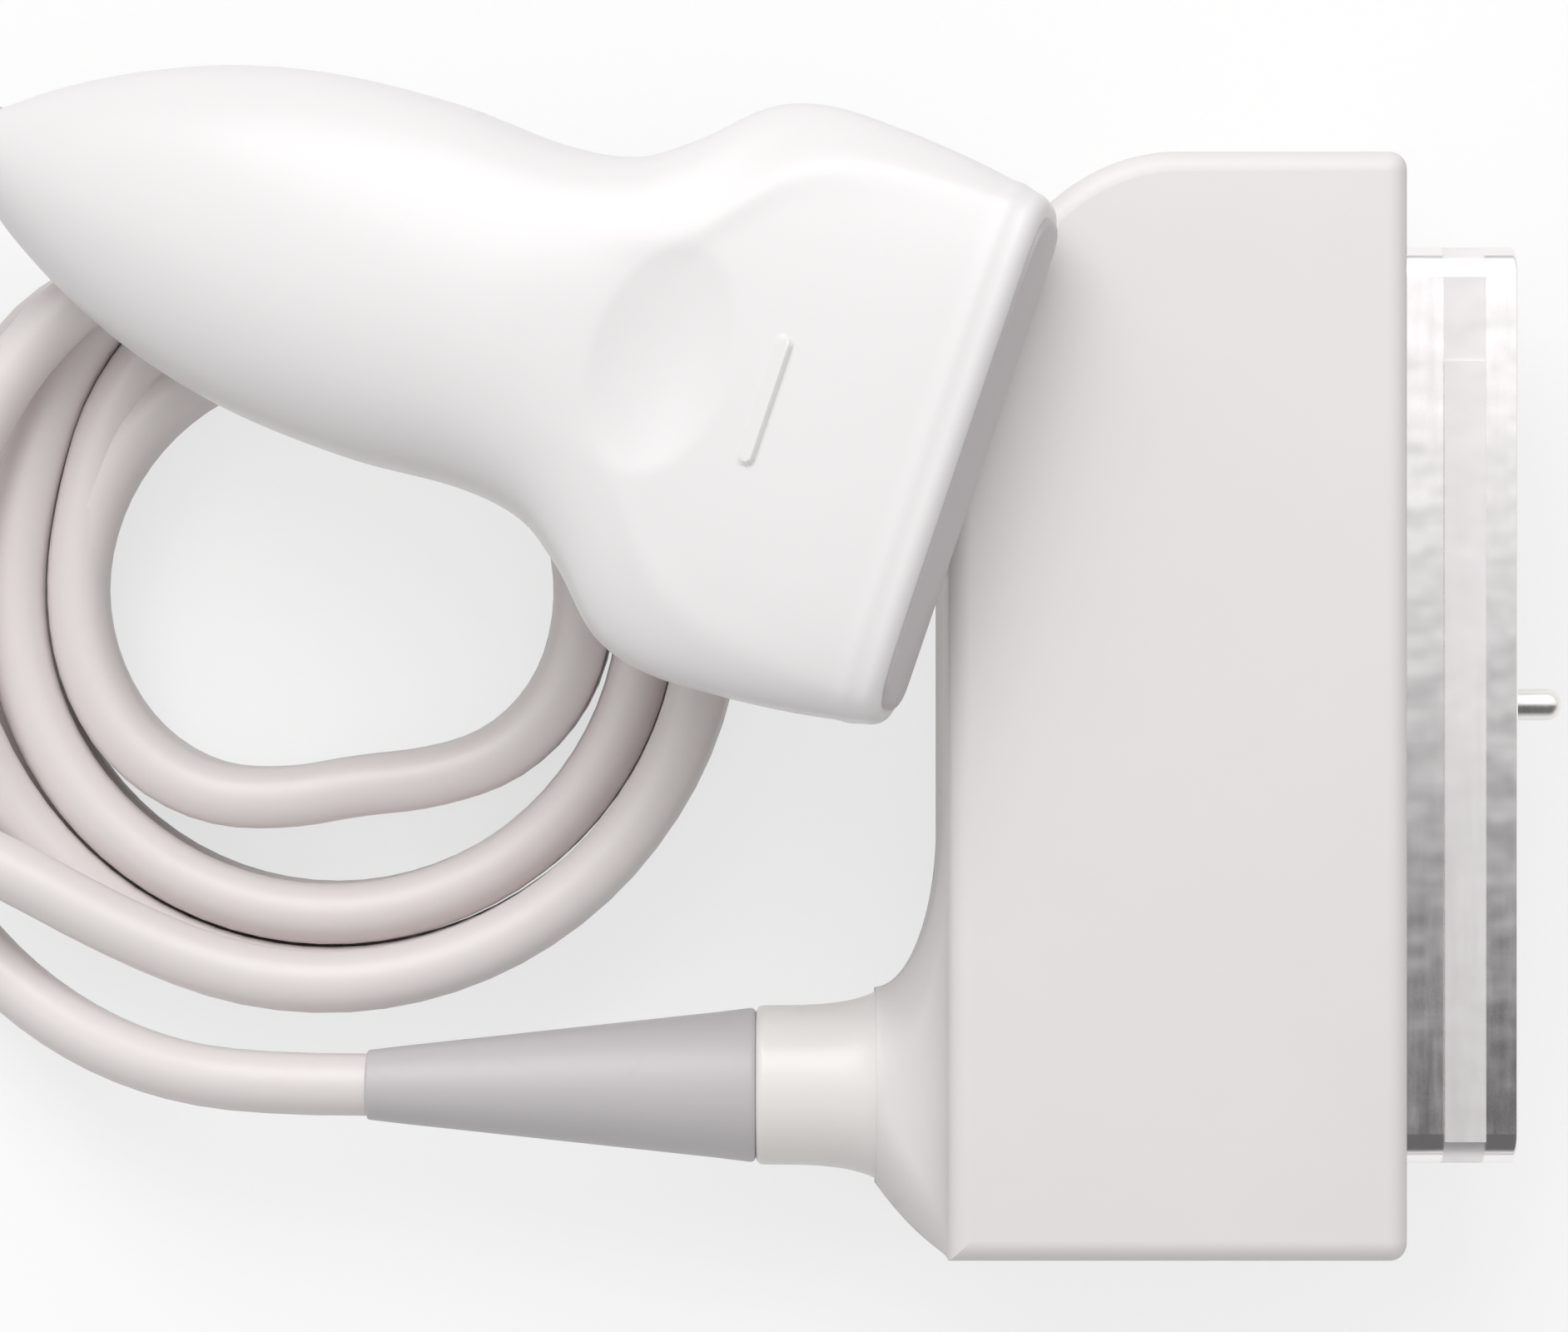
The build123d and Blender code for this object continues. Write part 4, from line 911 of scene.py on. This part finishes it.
def math_node(tree, operation, first, second=0.0, third=0.0):
    """Result of a Math node on three values or sockets."""
    return add(tree, "Math", {0: first, 1: second, 2: third}, operation=operation).outputs[0]


def scaled(tree, value, by, start):
    """A value times by, plus start."""
    return math_node(tree, "MULTIPLY_ADD", value, by, start)


def ramp(tree, value, limits, first, last, kind="SMOOTHSTEP"):
    """First below the lower limit and last above the upper, by a smooth step or in a line."""
    low, high = limits
    return add(
        tree, "MapRange",
        {"Value": value, "From Min": low, "From Max": high, "To Min": first, "To Max": last},
        interpolation_type=kind,
    ).outputs["Result"]


def colour_ramp(tree, value, first, last, limits=(0.0, 1.0)):
    """A colour that passes from first to last between two limits of a value."""
    node = add(tree, "ValToRGB", {"Fac": value})
    for element, limit, colour in zip(node.color_ramp.elements, limits, (first, last)):
        element.position = limit
        element.color = (*colour, 1)
    return node.outputs["Color"]


def object_place(tree):
    """Place of the shaded point in the shared frame, where every piece's origin lies."""
    return add(tree, "TexCoord").outputs["Object"]


def plane_distance(tree, axis, place):
    """How far the shaded point lies from the plane that crosses an axis at a place."""
    here = add(tree, "SeparateXYZ", {"Vector": object_place(tree)}).outputs[axis]
    return math_node(tree, "ABSOLUTE", math_node(tree, "SUBTRACT", here, place))


def stretched_place(tree, place, stretch):
    """A place with each of its coordinates multiplied by its own number."""
    return add(tree, "VectorMath", {0: place, 1: stretch}, operation="MULTIPLY").outputs[0]


def turned_place(tree, angle):
    """Place of the shaded point, turned about the shared frame's Z by an angle in radians."""
    return add(tree, "VectorRotate", {"Vector": object_place(tree), "Angle": angle},
               rotation_type="Z_AXIS").outputs[0]


def new_group(name, inputs, outputs):
    """An empty shader node group and its two end nodes.

    Its inputs are given as (name, kind, default) and its outputs as (name, kind).
    """
    group = bpy.data.node_groups.new(name, "ShaderNodeTree")
    for label, kind, default in inputs:
        socket = group.interface.new_socket(
            name=label, in_out="INPUT", socket_type="NodeSocket" + kind
        )
        socket.default_value = default
    for label, kind in outputs:
        group.interface.new_socket(name=label, in_out="OUTPUT", socket_type="NodeSocket" + kind)
    return group, group.nodes.new("NodeGroupInput"), group.nodes.new("NodeGroupOutput")


def surface_grain():
    """Node group: a fine grain, and a slow drift of shade and roughness over broad patches."""
    group, given, result = new_group(
        "surface_grain",
        (("Colour", "Color", (0.8, 0.8, 0.8, 1)), ("Shade drift", "Float", 0.05),
         ("Roughness", "Float", 0.4), ("Roughness drift", "Float", 0.1),
         ("Grain per metre", "Float", 2500.0), ("Patches per metre", "Float", 45.0)),
        (("Colour", "Color"), ("Roughness", "Float"), ("Height", "Float")),
    )
    given = given.outputs
    place = object_place(group)
    grain = add(group, "TexNoise", {"Vector": place, "Scale": given["Grain per metre"],
                                    "Detail": 3.0}).outputs["Fac"]
    patch = add(group, "TexNoise", {"Vector": place, "Scale": given["Patches per metre"],
                                    "Detail": 4.0, "Roughness": 0.6}).outputs["Fac"]
    middle = math_node(group, "SUBTRACT", patch, 0.5)
    shade = scaled(group, middle, given["Shade drift"], 1.0)
    tinted = add(group, "HueSaturation", {"Color": given["Colour"], "Value": shade})
    both = math_node(group, "ADD", middle, math_node(group, "SUBTRACT", grain, 0.5))
    rough = scaled(group, both, given["Roughness drift"], given["Roughness"])
    group.links.new(tinted.outputs["Color"], result.inputs["Colour"])
    group.links.new(rough, result.inputs["Roughness"])
    group.links.new(grain, result.inputs["Height"])
    return group


def drawn_lines():
    """Node group: streaks along one direction, as rolling or grinding leaves."""
    group, given, result = new_group(
        "drawn_lines",
        (("Stretch", "Vector", (1.0, 40.0, 40.0)), ("Lines per metre", "Float", 60.0)),
        (("Mask", "Float"),),
    )
    given = given.outputs
    place = stretched_place(group, object_place(group), given["Stretch"])
    lines = add(group, "TexNoise", {"Vector": place, "Scale": given["Lines per metre"],
                                    "Detail": 5.0})
    group.links.new(lines.outputs["Fac"], result.inputs["Mask"])
    return group


def fine_marks():
    """Node group: sparse hairline scuffs in two directions, as handling leaves on plastic."""
    group, _, result = new_group("fine_marks", (), (("Mask", "Float"),))
    masks = []
    for angle, stretch in SCUFFS:
        place = stretched_place(group, turned_place(group, angle), stretch)
        noise = add(group, "TexNoise", {"Vector": place, "Scale": 1.0, "Detail": 2.0})
        masks.append(ramp(group, noise.outputs["Fac"], SCUFF_LIMITS, 0.0, 1.0, kind="LINEAR"))
    both = math_node(group, "MAXIMUM", *masks)
    group.links.new(both, result.inputs["Mask"])
    return group


def start_material(name):
    """A new material with only its Principled shader, and the material's node tree."""
    made = bpy.data.materials.new(name)
    made.use_nodes = True
    return made, made.node_tree, made.node_tree.nodes["Principled BSDF"]


def use_group(tree, build, **values):
    """Place a node group in a material, built at its first use, with values for its inputs."""
    node = tree.nodes.new("ShaderNodeGroup")
    node.node_tree = bpy.data.node_groups.get(build.__name__) or build()
    for name, value in values.items():
        node.inputs[name.replace("_", " ")].default_value = value
    return node.outputs


def bump(tree, shader, height, strength, distance):
    """Feed a height to the shader's Normal through a Bump node."""
    node = add(tree, "Bump", {"Height": height, "Strength": strength, "Distance": distance})
    tree.links.new(node.outputs["Normal"], shader.inputs["Normal"])


def lower_bump(tree, shader, height, strength, distance, **settings):
    """Feed another height to the shader's Normal, through a Bump node under the one it has."""
    upper = shader.inputs["Normal"].links[0].from_node
    lower = add(tree, "Bump", {"Height": height, "Strength": strength, "Distance": distance},
                **settings)
    tree.links.new(lower.outputs["Normal"], upper.inputs["Normal"])


def fed(shader, name):
    """The socket that already feeds one of the shader's inputs."""
    return shader.inputs[name].links[0].from_socket


def grained(name, colour, roughness, drift, grain, depth, patches=45.0, marks=0.0, **sockets):
    """Moulded or cast surface: grain, slow drift of shade and roughness, and faint scuffs."""
    made, tree, shader = start_material(name)
    out = use_group(
        tree, surface_grain, Colour=(*colour, 1), Shade_drift=drift, Roughness=roughness,
        Roughness_drift=0.12, Grain_per_metre=grain, Patches_per_metre=patches,
    )
    rough = out["Roughness"]
    if marks:
        rough = scaled(tree, use_group(tree, fine_marks)["Mask"], marks, rough)
    tree.links.new(out["Colour"], shader.inputs["Base Color"])
    tree.links.new(rough, shader.inputs["Roughness"])
    bump(tree, shader, out["Height"], strength=0.35, distance=depth)
    for socket, value in sockets.items():
        shader.inputs[socket.replace("_", " ")].default_value = value
    return made


def metal(name, colour, roughness, stretch, lines=60.0):
    """Worked metal: drawn lines over a drifting shade, in roughness, colour and relief."""
    made, tree, shader = start_material(name)
    out = use_group(
        tree, surface_grain, Colour=(*colour, 1), Shade_drift=0.1, Roughness=roughness,
        Roughness_drift=0.08, Grain_per_metre=3500.0, Patches_per_metre=90.0,
    )
    mask = use_group(tree, drawn_lines, Stretch=stretch, Lines_per_metre=lines)["Mask"]
    centred = math_node(tree, "SUBTRACT", mask, 0.5)
    rough = scaled(tree, centred, LINES_ROUGHER, out["Roughness"])
    tree.links.new(out["Colour"], shader.inputs["Base Color"])
    tree.links.new(rough, shader.inputs["Roughness"])
    bump(tree, shader, mask, strength=0.3, distance=0.000008)
    shader.inputs["Metallic"].default_value = 1.0
    return made


def housing_plastic(context):
    """Satin warm white moulding with a fine spark texture and a groove where its halves meet.

    The groove's mask is 1 at the parting height and falls to 0 by a smooth step beside it. It
    darkens the colour there as painted shade, and bumps the surface in.
    """
    made = grained("housing_plastic", context.scene.part_colours.housing, roughness=0.44,
                   drift=0.05, grain=2600.0, depth=0.000014, marks=0.1)
    tree = made.node_tree
    shader = tree.nodes["Principled BSDF"]
    from_parting = plane_distance(tree, "Z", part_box("housing_front")[0].z)
    groove = ramp(tree, from_parting, (0.0, PARTING_GROOVE), 1.0, 0.0)
    # Painted shade: the groove's colour is darkened where shade would fall into the gap
    shade = scaled(tree, groove, -GROOVE_PAINTED_SHADE, 1.0)
    darker = add(tree, "HueSaturation", {"Color": fed(shader, "Base Color"), "Value": shade})
    tree.links.new(darker.outputs["Color"], shader.inputs["Base Color"])
    lower_bump(tree, shader, groove, GROOVE_STRENGTH, PARTING_GROOVE, invert=True)
    return made


def handle_plastic(context):
    """Smoother white moulding, a little glossier than the housing."""
    return grained("handle_plastic", context.scene.part_colours.handle, roughness=0.33, drift=0.03,
                   grain=3200.0, depth=0.000008, marks=0.12)


def collar_plastic(context):
    """Smooth cream moulding."""
    return grained("collar_plastic", context.scene.part_colours.collar, roughness=0.3, drift=0.04,
                   grain=3000.0, depth=0.000006, marks=0.1)


def relief_rubber(context):
    """Smooth grey elastomer with a soft sheen."""
    return grained("relief_rubber", context.scene.part_colours.relief, roughness=0.42, drift=0.05,
                   grain=2400.0, depth=0.00001, marks=0.1, Sheen_Weight=0.08)


def lens_silicone(context):
    """Grey silicone, soft and slightly waxy."""
    return grained("lens_silicone", context.scene.part_colours.lens, roughness=0.38, drift=0.06,
                   grain=2800.0, patches=80.0, depth=0.000006, Sheen_Weight=0.1)


def cable_jacket(context):
    """Smooth flexible jacket with a very slight unevenness."""
    return grained("cable_jacket", context.scene.part_colours.cable, roughness=0.36, drift=0.05,
                   grain=420.0, patches=60.0, depth=0.00006, marks=0.08)


def shell_plating(context):
    """Bright plated sheet with a slight waviness, blasted to a softer finish on its raised band.

    The band's mask is 1 between its two X places, with a smooth edge.
    """
    made = metal("shell_plating", context.scene.part_colours.plating, roughness=0.13,
                 stretch=(12.0, 1.0, 12.0), lines=90.0)
    tree = made.node_tree
    shader = tree.nodes["Principled BSDF"]
    from_middle = plane_distance(tree, "X", BAND_MIDDLE_X)
    edge = (BAND_HALF - BAND_SOFT, BAND_HALF + BAND_SOFT)
    inside = ramp(tree, from_middle, edge, 1.0, 0.0)
    rough = scaled(tree, inside, BAND_ROUGHER, fed(shader, "Roughness"))
    tree.links.new(rough, shader.inputs["Roughness"])
    tree.links.new(scaled(tree, inside, -BAND_BLASTED, 1.0), shader.inputs["Metallic"])
    place = object_place(tree)
    waves = add(tree, "TexNoise", {"Vector": place, "Scale": 260.0, "Detail": 1.0})
    lower_bump(tree, shader, waves.outputs["Fac"], strength=0.5, distance=0.00009)
    return made


def pin_steel(context):
    """Ground steel with fine rings."""
    return metal("pin_steel", context.scene.part_colours.steel, roughness=0.3,
                 stretch=(60.0, 1.0, 1.0))


def contact_plating(context):
    """Gold plated blades."""
    return metal("contact_plating", context.scene.part_colours.gold, roughness=0.25,
                 stretch=(1.0, 20.0, 20.0), lines=200.0)


def insert_plastic(context):
    """Dark glass-filled moulding with a slightly rough, speckled skin."""
    return grained("insert_plastic", context.scene.part_colours.insert, roughness=0.5, drift=0.25,
                   grain=1800.0, patches=300.0, depth=0.00002)


def screw_steel(context):
    """Zinc plated steel."""
    return metal("screw_steel", (0.56, 0.56, 0.55), roughness=0.32, stretch=(1.0, 1.0, 30.0),
                 lines=150.0)


def clamp_metal(context):
    """Plain sawn and tumbled aluminium."""
    return metal("clamp_metal", (0.72, 0.72, 0.73), roughness=0.42, stretch=(20.0, 1.0, 20.0))


def standoff_brass(context):
    """Turned brass with fine rings."""
    return metal("standoff_brass", (0.72, 0.55, 0.28), roughness=0.28, stretch=(1.0, 1.0, 50.0))


def matching_epoxy(context):
    """Lapped filled epoxy with visible filler."""
    return grained("matching_epoxy", (0.2, 0.22, 0.26), roughness=0.3, drift=0.35, grain=5000.0,
                   patches=900.0, depth=0.000004)


def piezo_ceramic(context):
    """Fired ceramic, matt and slightly porous."""
    return grained("piezo_ceramic", (0.62, 0.56, 0.44), roughness=0.6, drift=0.15, grain=6000.0,
                   patches=400.0, depth=0.000012)


def backing_rubber(context):
    """Dark filled rubber with a coarse mottle."""
    return grained("backing_rubber", (0.07, 0.07, 0.075), roughness=0.7, drift=0.4, grain=1500.0,
                   patches=350.0, depth=0.00003)


def carrier_plastic(context):
    """Plain dark moulding."""
    return grained("carrier_plastic", (0.15, 0.15, 0.16), roughness=0.5, drift=0.15, grain=2200.0,
                   depth=0.000015)


def black_plastic(context):
    """Moulded packages with a fine matt skin."""
    return grained("black_plastic", (0.03, 0.03, 0.032), roughness=0.55, drift=0.3, grain=3500.0,
                   patches=200.0, depth=0.000015)


def plug_plastic(context):
    """Pale moulded plug bodies."""
    return grained("plug_plastic", (0.72, 0.70, 0.63), roughness=0.42, drift=0.1, grain=2600.0,
                   depth=0.00001)


def board_laminate(context):
    """Green laminate with rows of tinned pads: a brick pattern whose mortar is the pads."""
    made, tree, shader = start_material("board_laminate")
    bricks = add(
        tree, "TexBrick",
        {"Vector": object_place(tree), "Color1": (0.03, 0.2, 0.09, 1),
         "Color2": (0.035, 0.24, 0.1, 1), "Mortar": (0.5, 0.42, 0.22, 1), "Scale": 400.0,
         "Mortar Size": 0.03, "Brick Width": 1.2, "Row Height": 0.5},
    )
    tree.links.new(bricks.outputs["Color"], shader.inputs["Base Color"])
    rough = scaled(tree, bricks.outputs["Fac"], by=0.15, start=0.3)
    tree.links.new(rough, shader.inputs["Roughness"])
    bump(tree, shader, bricks.outputs["Fac"], strength=0.4, distance=0.00002)
    return made


def flex_film(context):
    """Amber film with copper tracks that run along the handle: a stretched wave pattern."""
    made, tree, shader = start_material("flex_film")
    place = turned_place(tree, HANDLE_TURN)
    wave = add(tree, "TexWave", {"Vector": place, "Scale": 500.0, "Distortion": 0.0},
               bands_direction="Y").outputs["Fac"]
    tracks = colour_ramp(tree, wave, (0.6, 0.3, 0.06), (0.42, 0.16, 0.05), limits=(0.45, 0.55))
    tree.links.new(tracks, shader.inputs["Base Color"])
    rough = scaled(tree, wave, by=0.12, start=0.22)
    tree.links.new(rough, shader.inputs["Roughness"])
    bump(tree, shader, wave, strength=0.5, distance=0.00002)
    return made


def wire_bundle(context):
    """Fine wires side by side in two colours: cells of a stretched Voronoi pattern."""
    made, tree, shader = start_material("wire_bundle")
    place = stretched_place(tree, object_place(tree), (30.0, 1200.0, 1200.0))
    cells = add(tree, "TexVoronoi", {"Vector": place, "Scale": 1.0}).outputs
    value = add(tree, "SeparateColor", {"Color": cells["Color"]}).outputs[0]
    wires = colour_ramp(tree, value, (0.62, 0.16, 0.12), (0.75, 0.66, 0.58))
    tree.links.new(wires, shader.inputs["Base Color"])
    rough = scaled(tree, cells["Distance"], by=0.2, start=0.4)
    tree.links.new(rough, shader.inputs["Roughness"])
    height = math_node(tree, "SUBTRACT", 1.0, cells["Distance"])
    bump(tree, shader, height, strength=0.8, distance=0.0001)
    return made


# Which finish each kept node of the frame gets
NODE_FINISHES = {
    housing_plastic: ("housing_back", "housing_front"),
    collar_plastic: ("gland_collar",),
    shell_plating: ("connector_shell",),
    pin_steel: ("guide_pin",),
    contact_plating: ("contacts",),
    insert_plastic: ("contact_insert",),
    screw_steel: ("housing_screws", "shell_screws", "clamp_screws"),
    clamp_metal: ("cable_clamp", "jacket_ferrule"),
    standoff_brass: ("board_standoffs",),
    matching_epoxy: ("matching_layer",),
    piezo_ceramic: ("piezo_array",),
    backing_rubber: ("backing_block",),
    carrier_plastic: ("array_carrier",),
    black_plastic: ("board_chips", "edge_connectors"),
    plug_plastic: ("cable_header", "board_plugs"),
    board_laminate: ("connector_board", "handle_board"),
    flex_film: ("array_flex_circuit",),
    wire_bundle: ("connector_wire_bundle", "handle_wire_bundle"),
    cable_jacket: ("jacket_in_connector", "jacket_in_handle"),
}


class PROBE_OT_finishes(bpy.types.Operator):
    """Give every kept node of the frame its procedural finish"""

    bl_idname = "probe.finishes"
    bl_label = "Finishes"

    def execute(self, context):
        for make, nodes in NODE_FINISHES.items():
            finish = make(context)
            for name in nodes:
                for holder in frame["nodes"][name].material_slots:
                    holder.material = finish
        return {"FINISHED"}


def floor_paper(settings):
    """Pale paper: part of its white takes light and shadow, the rest glows for camera rays."""
    made, tree, shader = start_material("floor_paper")
    place = object_place(tree)
    fibres = add(tree, "TexNoise", {"Vector": place, "Scale": 900.0, "Detail": 3.0})
    shade = scaled(tree, fibres.outputs["Fac"], by=0.01, start=settings.floor_shade)
    colour = add(tree, "CombineColor", {0: shade, 1: shade, 2: shade}).outputs[0]
    tree.links.new(colour, shader.inputs["Base Color"])
    shader.inputs["Roughness"].default_value = 0.9
    shader.inputs["Specular IOR Level"].default_value = 0.0
    shader.inputs["Emission Color"].default_value = (1, 1, 1, 1)
    glow = math_node(tree, "MULTIPLY", seen_rays(tree), 1 - settings.floor_shade)
    tree.links.new(glow, shader.inputs["Emission Strength"])
    return made


def seen_rays(tree):
    """1 for rays from the camera, from a glossy surface or through glass, and 0 for light."""
    path = add(tree, "LightPath").outputs
    seen = math_node(tree, "MAXIMUM", path["Is Camera Ray"], path["Is Glossy Ray"])
    return math_node(tree, "MAXIMUM", seen, path["Is Transmission Ray"])


def surroundings(tree, settings):
    """White to the camera and in reflections, apart from a shaded side and horizon, and soft light.

    The shaded side is the product of a smooth step in a direction's height and a ramp across it.
    The horizon's shade falls from its most at height 0 to nothing by a smooth step. A ramp towards
    the other side makes reflections of the sky there a little brighter.
    """
    way = add(tree, "SeparateXYZ", {"Vector": add(tree, "TexCoord").outputs["Generated"]}).outputs
    height = math_node(tree, "ABSOLUTE", way["Z"])
    overhead = ramp(tree, way["Z"], SKY_SETS_IN, 0.0, 1.0)
    shaded = ramp(tree, way["Y"], SHADE_ENDS, 1.0, 0.0, kind="LINEAR")
    bright = ramp(tree, way["Y"], GLOW_BEGINS, 0.0, settings.window_glow, kind="LINEAR")
    horizon = ramp(tree, height, (0.0, HORIZON_HEIGHT), settings.horizon_shade, 0.0)
    glossy = add(tree, "LightPath").outputs["Is Glossy Ray"]
    side = math_node(tree, "MULTIPLY", overhead, shaded)
    patch = math_node(tree, "MULTIPLY", math_node(tree, "MAXIMUM", side, horizon), glossy)
    glow = math_node(tree, "MULTIPLY", math_node(tree, "MULTIPLY", overhead, bright), glossy)
    sight = seen_rays(tree)
    white = math_node(tree, "ADD", sight, glow)
    seen = scaled(tree, patch, -settings.ceiling_shade, white)
    light = math_node(tree, "MAXIMUM", seen, settings.ambient)
    strength = add(
        tree, "Mix", {"Factor": sight, "A": light, "B": seen}, data_type="FLOAT"
    ).outputs["Result"]
    background = tree.nodes["Background"]
    background.inputs["Color"].default_value = (1, 1, 1, 1)
    tree.links.new(strength, background.inputs["Strength"])


class PROBE_OT_stage(bpy.types.Operator):
    """Make the pale floor, the soft lamp, the white surroundings and the camera"""

    bl_idname = "probe.stage"
    bl_label = "Stage"

    def execute(self, context):
        scene, settings = context.scene, context.scene.studio_settings
        data = bpy.data.cameras.new("camera")
        data.sensor_width = SENSOR_WIDTH
        data.sensor_fit = "HORIZONTAL"
        data.lens = FOCAL_PIXELS * SENSOR_WIDTH / IMAGE_WIDTH
        data.dof.use_dof = False
        scene.camera = link(context, "camera", data)
        scene.camera.location = CAMERA_PLACE
        reach = settings.floor_reach
        mesh = bpy.data.meshes.new("floor")
        corners = [(-reach, -reach, 0), (reach, -reach, 0), (reach, reach, 0), (-reach, reach, 0)]
        mesh.from_pydata(corners, [], [(0, 1, 2, 3)])
        mesh.materials.append(floor_paper(settings))
        floor = link(context, "floor", mesh)
        lamp_data = bpy.data.lights.new("key", "AREA")
        lamp_data.energy = settings.key_power
        lamp_data.size = settings.key_size
        lamp = link(context, "key", lamp_data)
        lamp.location = settings.key_place
        lamp.rotation_euler = (-lamp.location).to_track_quat("-Z", "Y").to_euler()
        world = bpy.data.worlds.new("surroundings")
        world.use_nodes = True
        surroundings(world.node_tree, settings)
        scene.world = world
        scene.view_settings.view_transform = "Standard"
        return {"FINISHED"}


# The operators in the order in which they run
STEPS = (
    PROBE_OT_handle, PROBE_OT_lens, PROBE_OT_flare, PROBE_OT_reliefs, PROBE_OT_cable,
    PROBE_OT_finishes, PROBE_OT_stage,
)

# Names under which the scene holds the settings
SETTINGS = {
    "cable_sizes": CableSizes,
    "handle_sizes": HandleSizes,
    "lens_sizes": LensSizes,
    "flare_sizes": FlareSizes,
    "relief_sizes": ReliefSizes,
    "part_colours": PartColours,
    "studio_settings": StudioSettings,
}


class PROBE_PT_sidebar(bpy.types.Panel):
    bl_label = "Ultrasound Probe"
    bl_idname = "PROBE_PT_sidebar"
    bl_space_type = "VIEW_3D"
    bl_region_type = "UI"
    bl_category = "Ultrasound Probe"

    def draw(self, context):
        for step in STEPS:
            self.layout.operator(step.bl_idname)
        for name in SETTINGS:
            holder = getattr(context.scene, name)
            box = self.layout.box()
            box.label(text=name.replace("_", " ").capitalize())
            for setting in holder.bl_rna.properties:
                if setting.identifier not in ("rna_type", "name"):
                    box.prop(holder, setting.identifier)


def register():
    for item in (*SETTINGS.values(), *STEPS, PROBE_PT_sidebar):
        bpy.utils.register_class(item)
    for name, kind in SETTINGS.items():
        setattr(bpy.types.Scene, name, bpy.props.PointerProperty(type=kind))


def unregister():
    for name in SETTINGS:
        delattr(bpy.types.Scene, name)
    for item in reversed((*SETTINGS.values(), *STEPS, PROBE_PT_sidebar)):
        bpy.utils.unregister_class(item)


def main():
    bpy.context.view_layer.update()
    register()
    bpy.ops.probe.handle()
    bpy.ops.probe.lens()
    bpy.ops.probe.flare()
    bpy.ops.probe.reliefs()
    bpy.ops.probe.cable()
    bpy.ops.probe.finishes()
    bpy.ops.probe.stage()


if __name__ == "__main__":
    main()
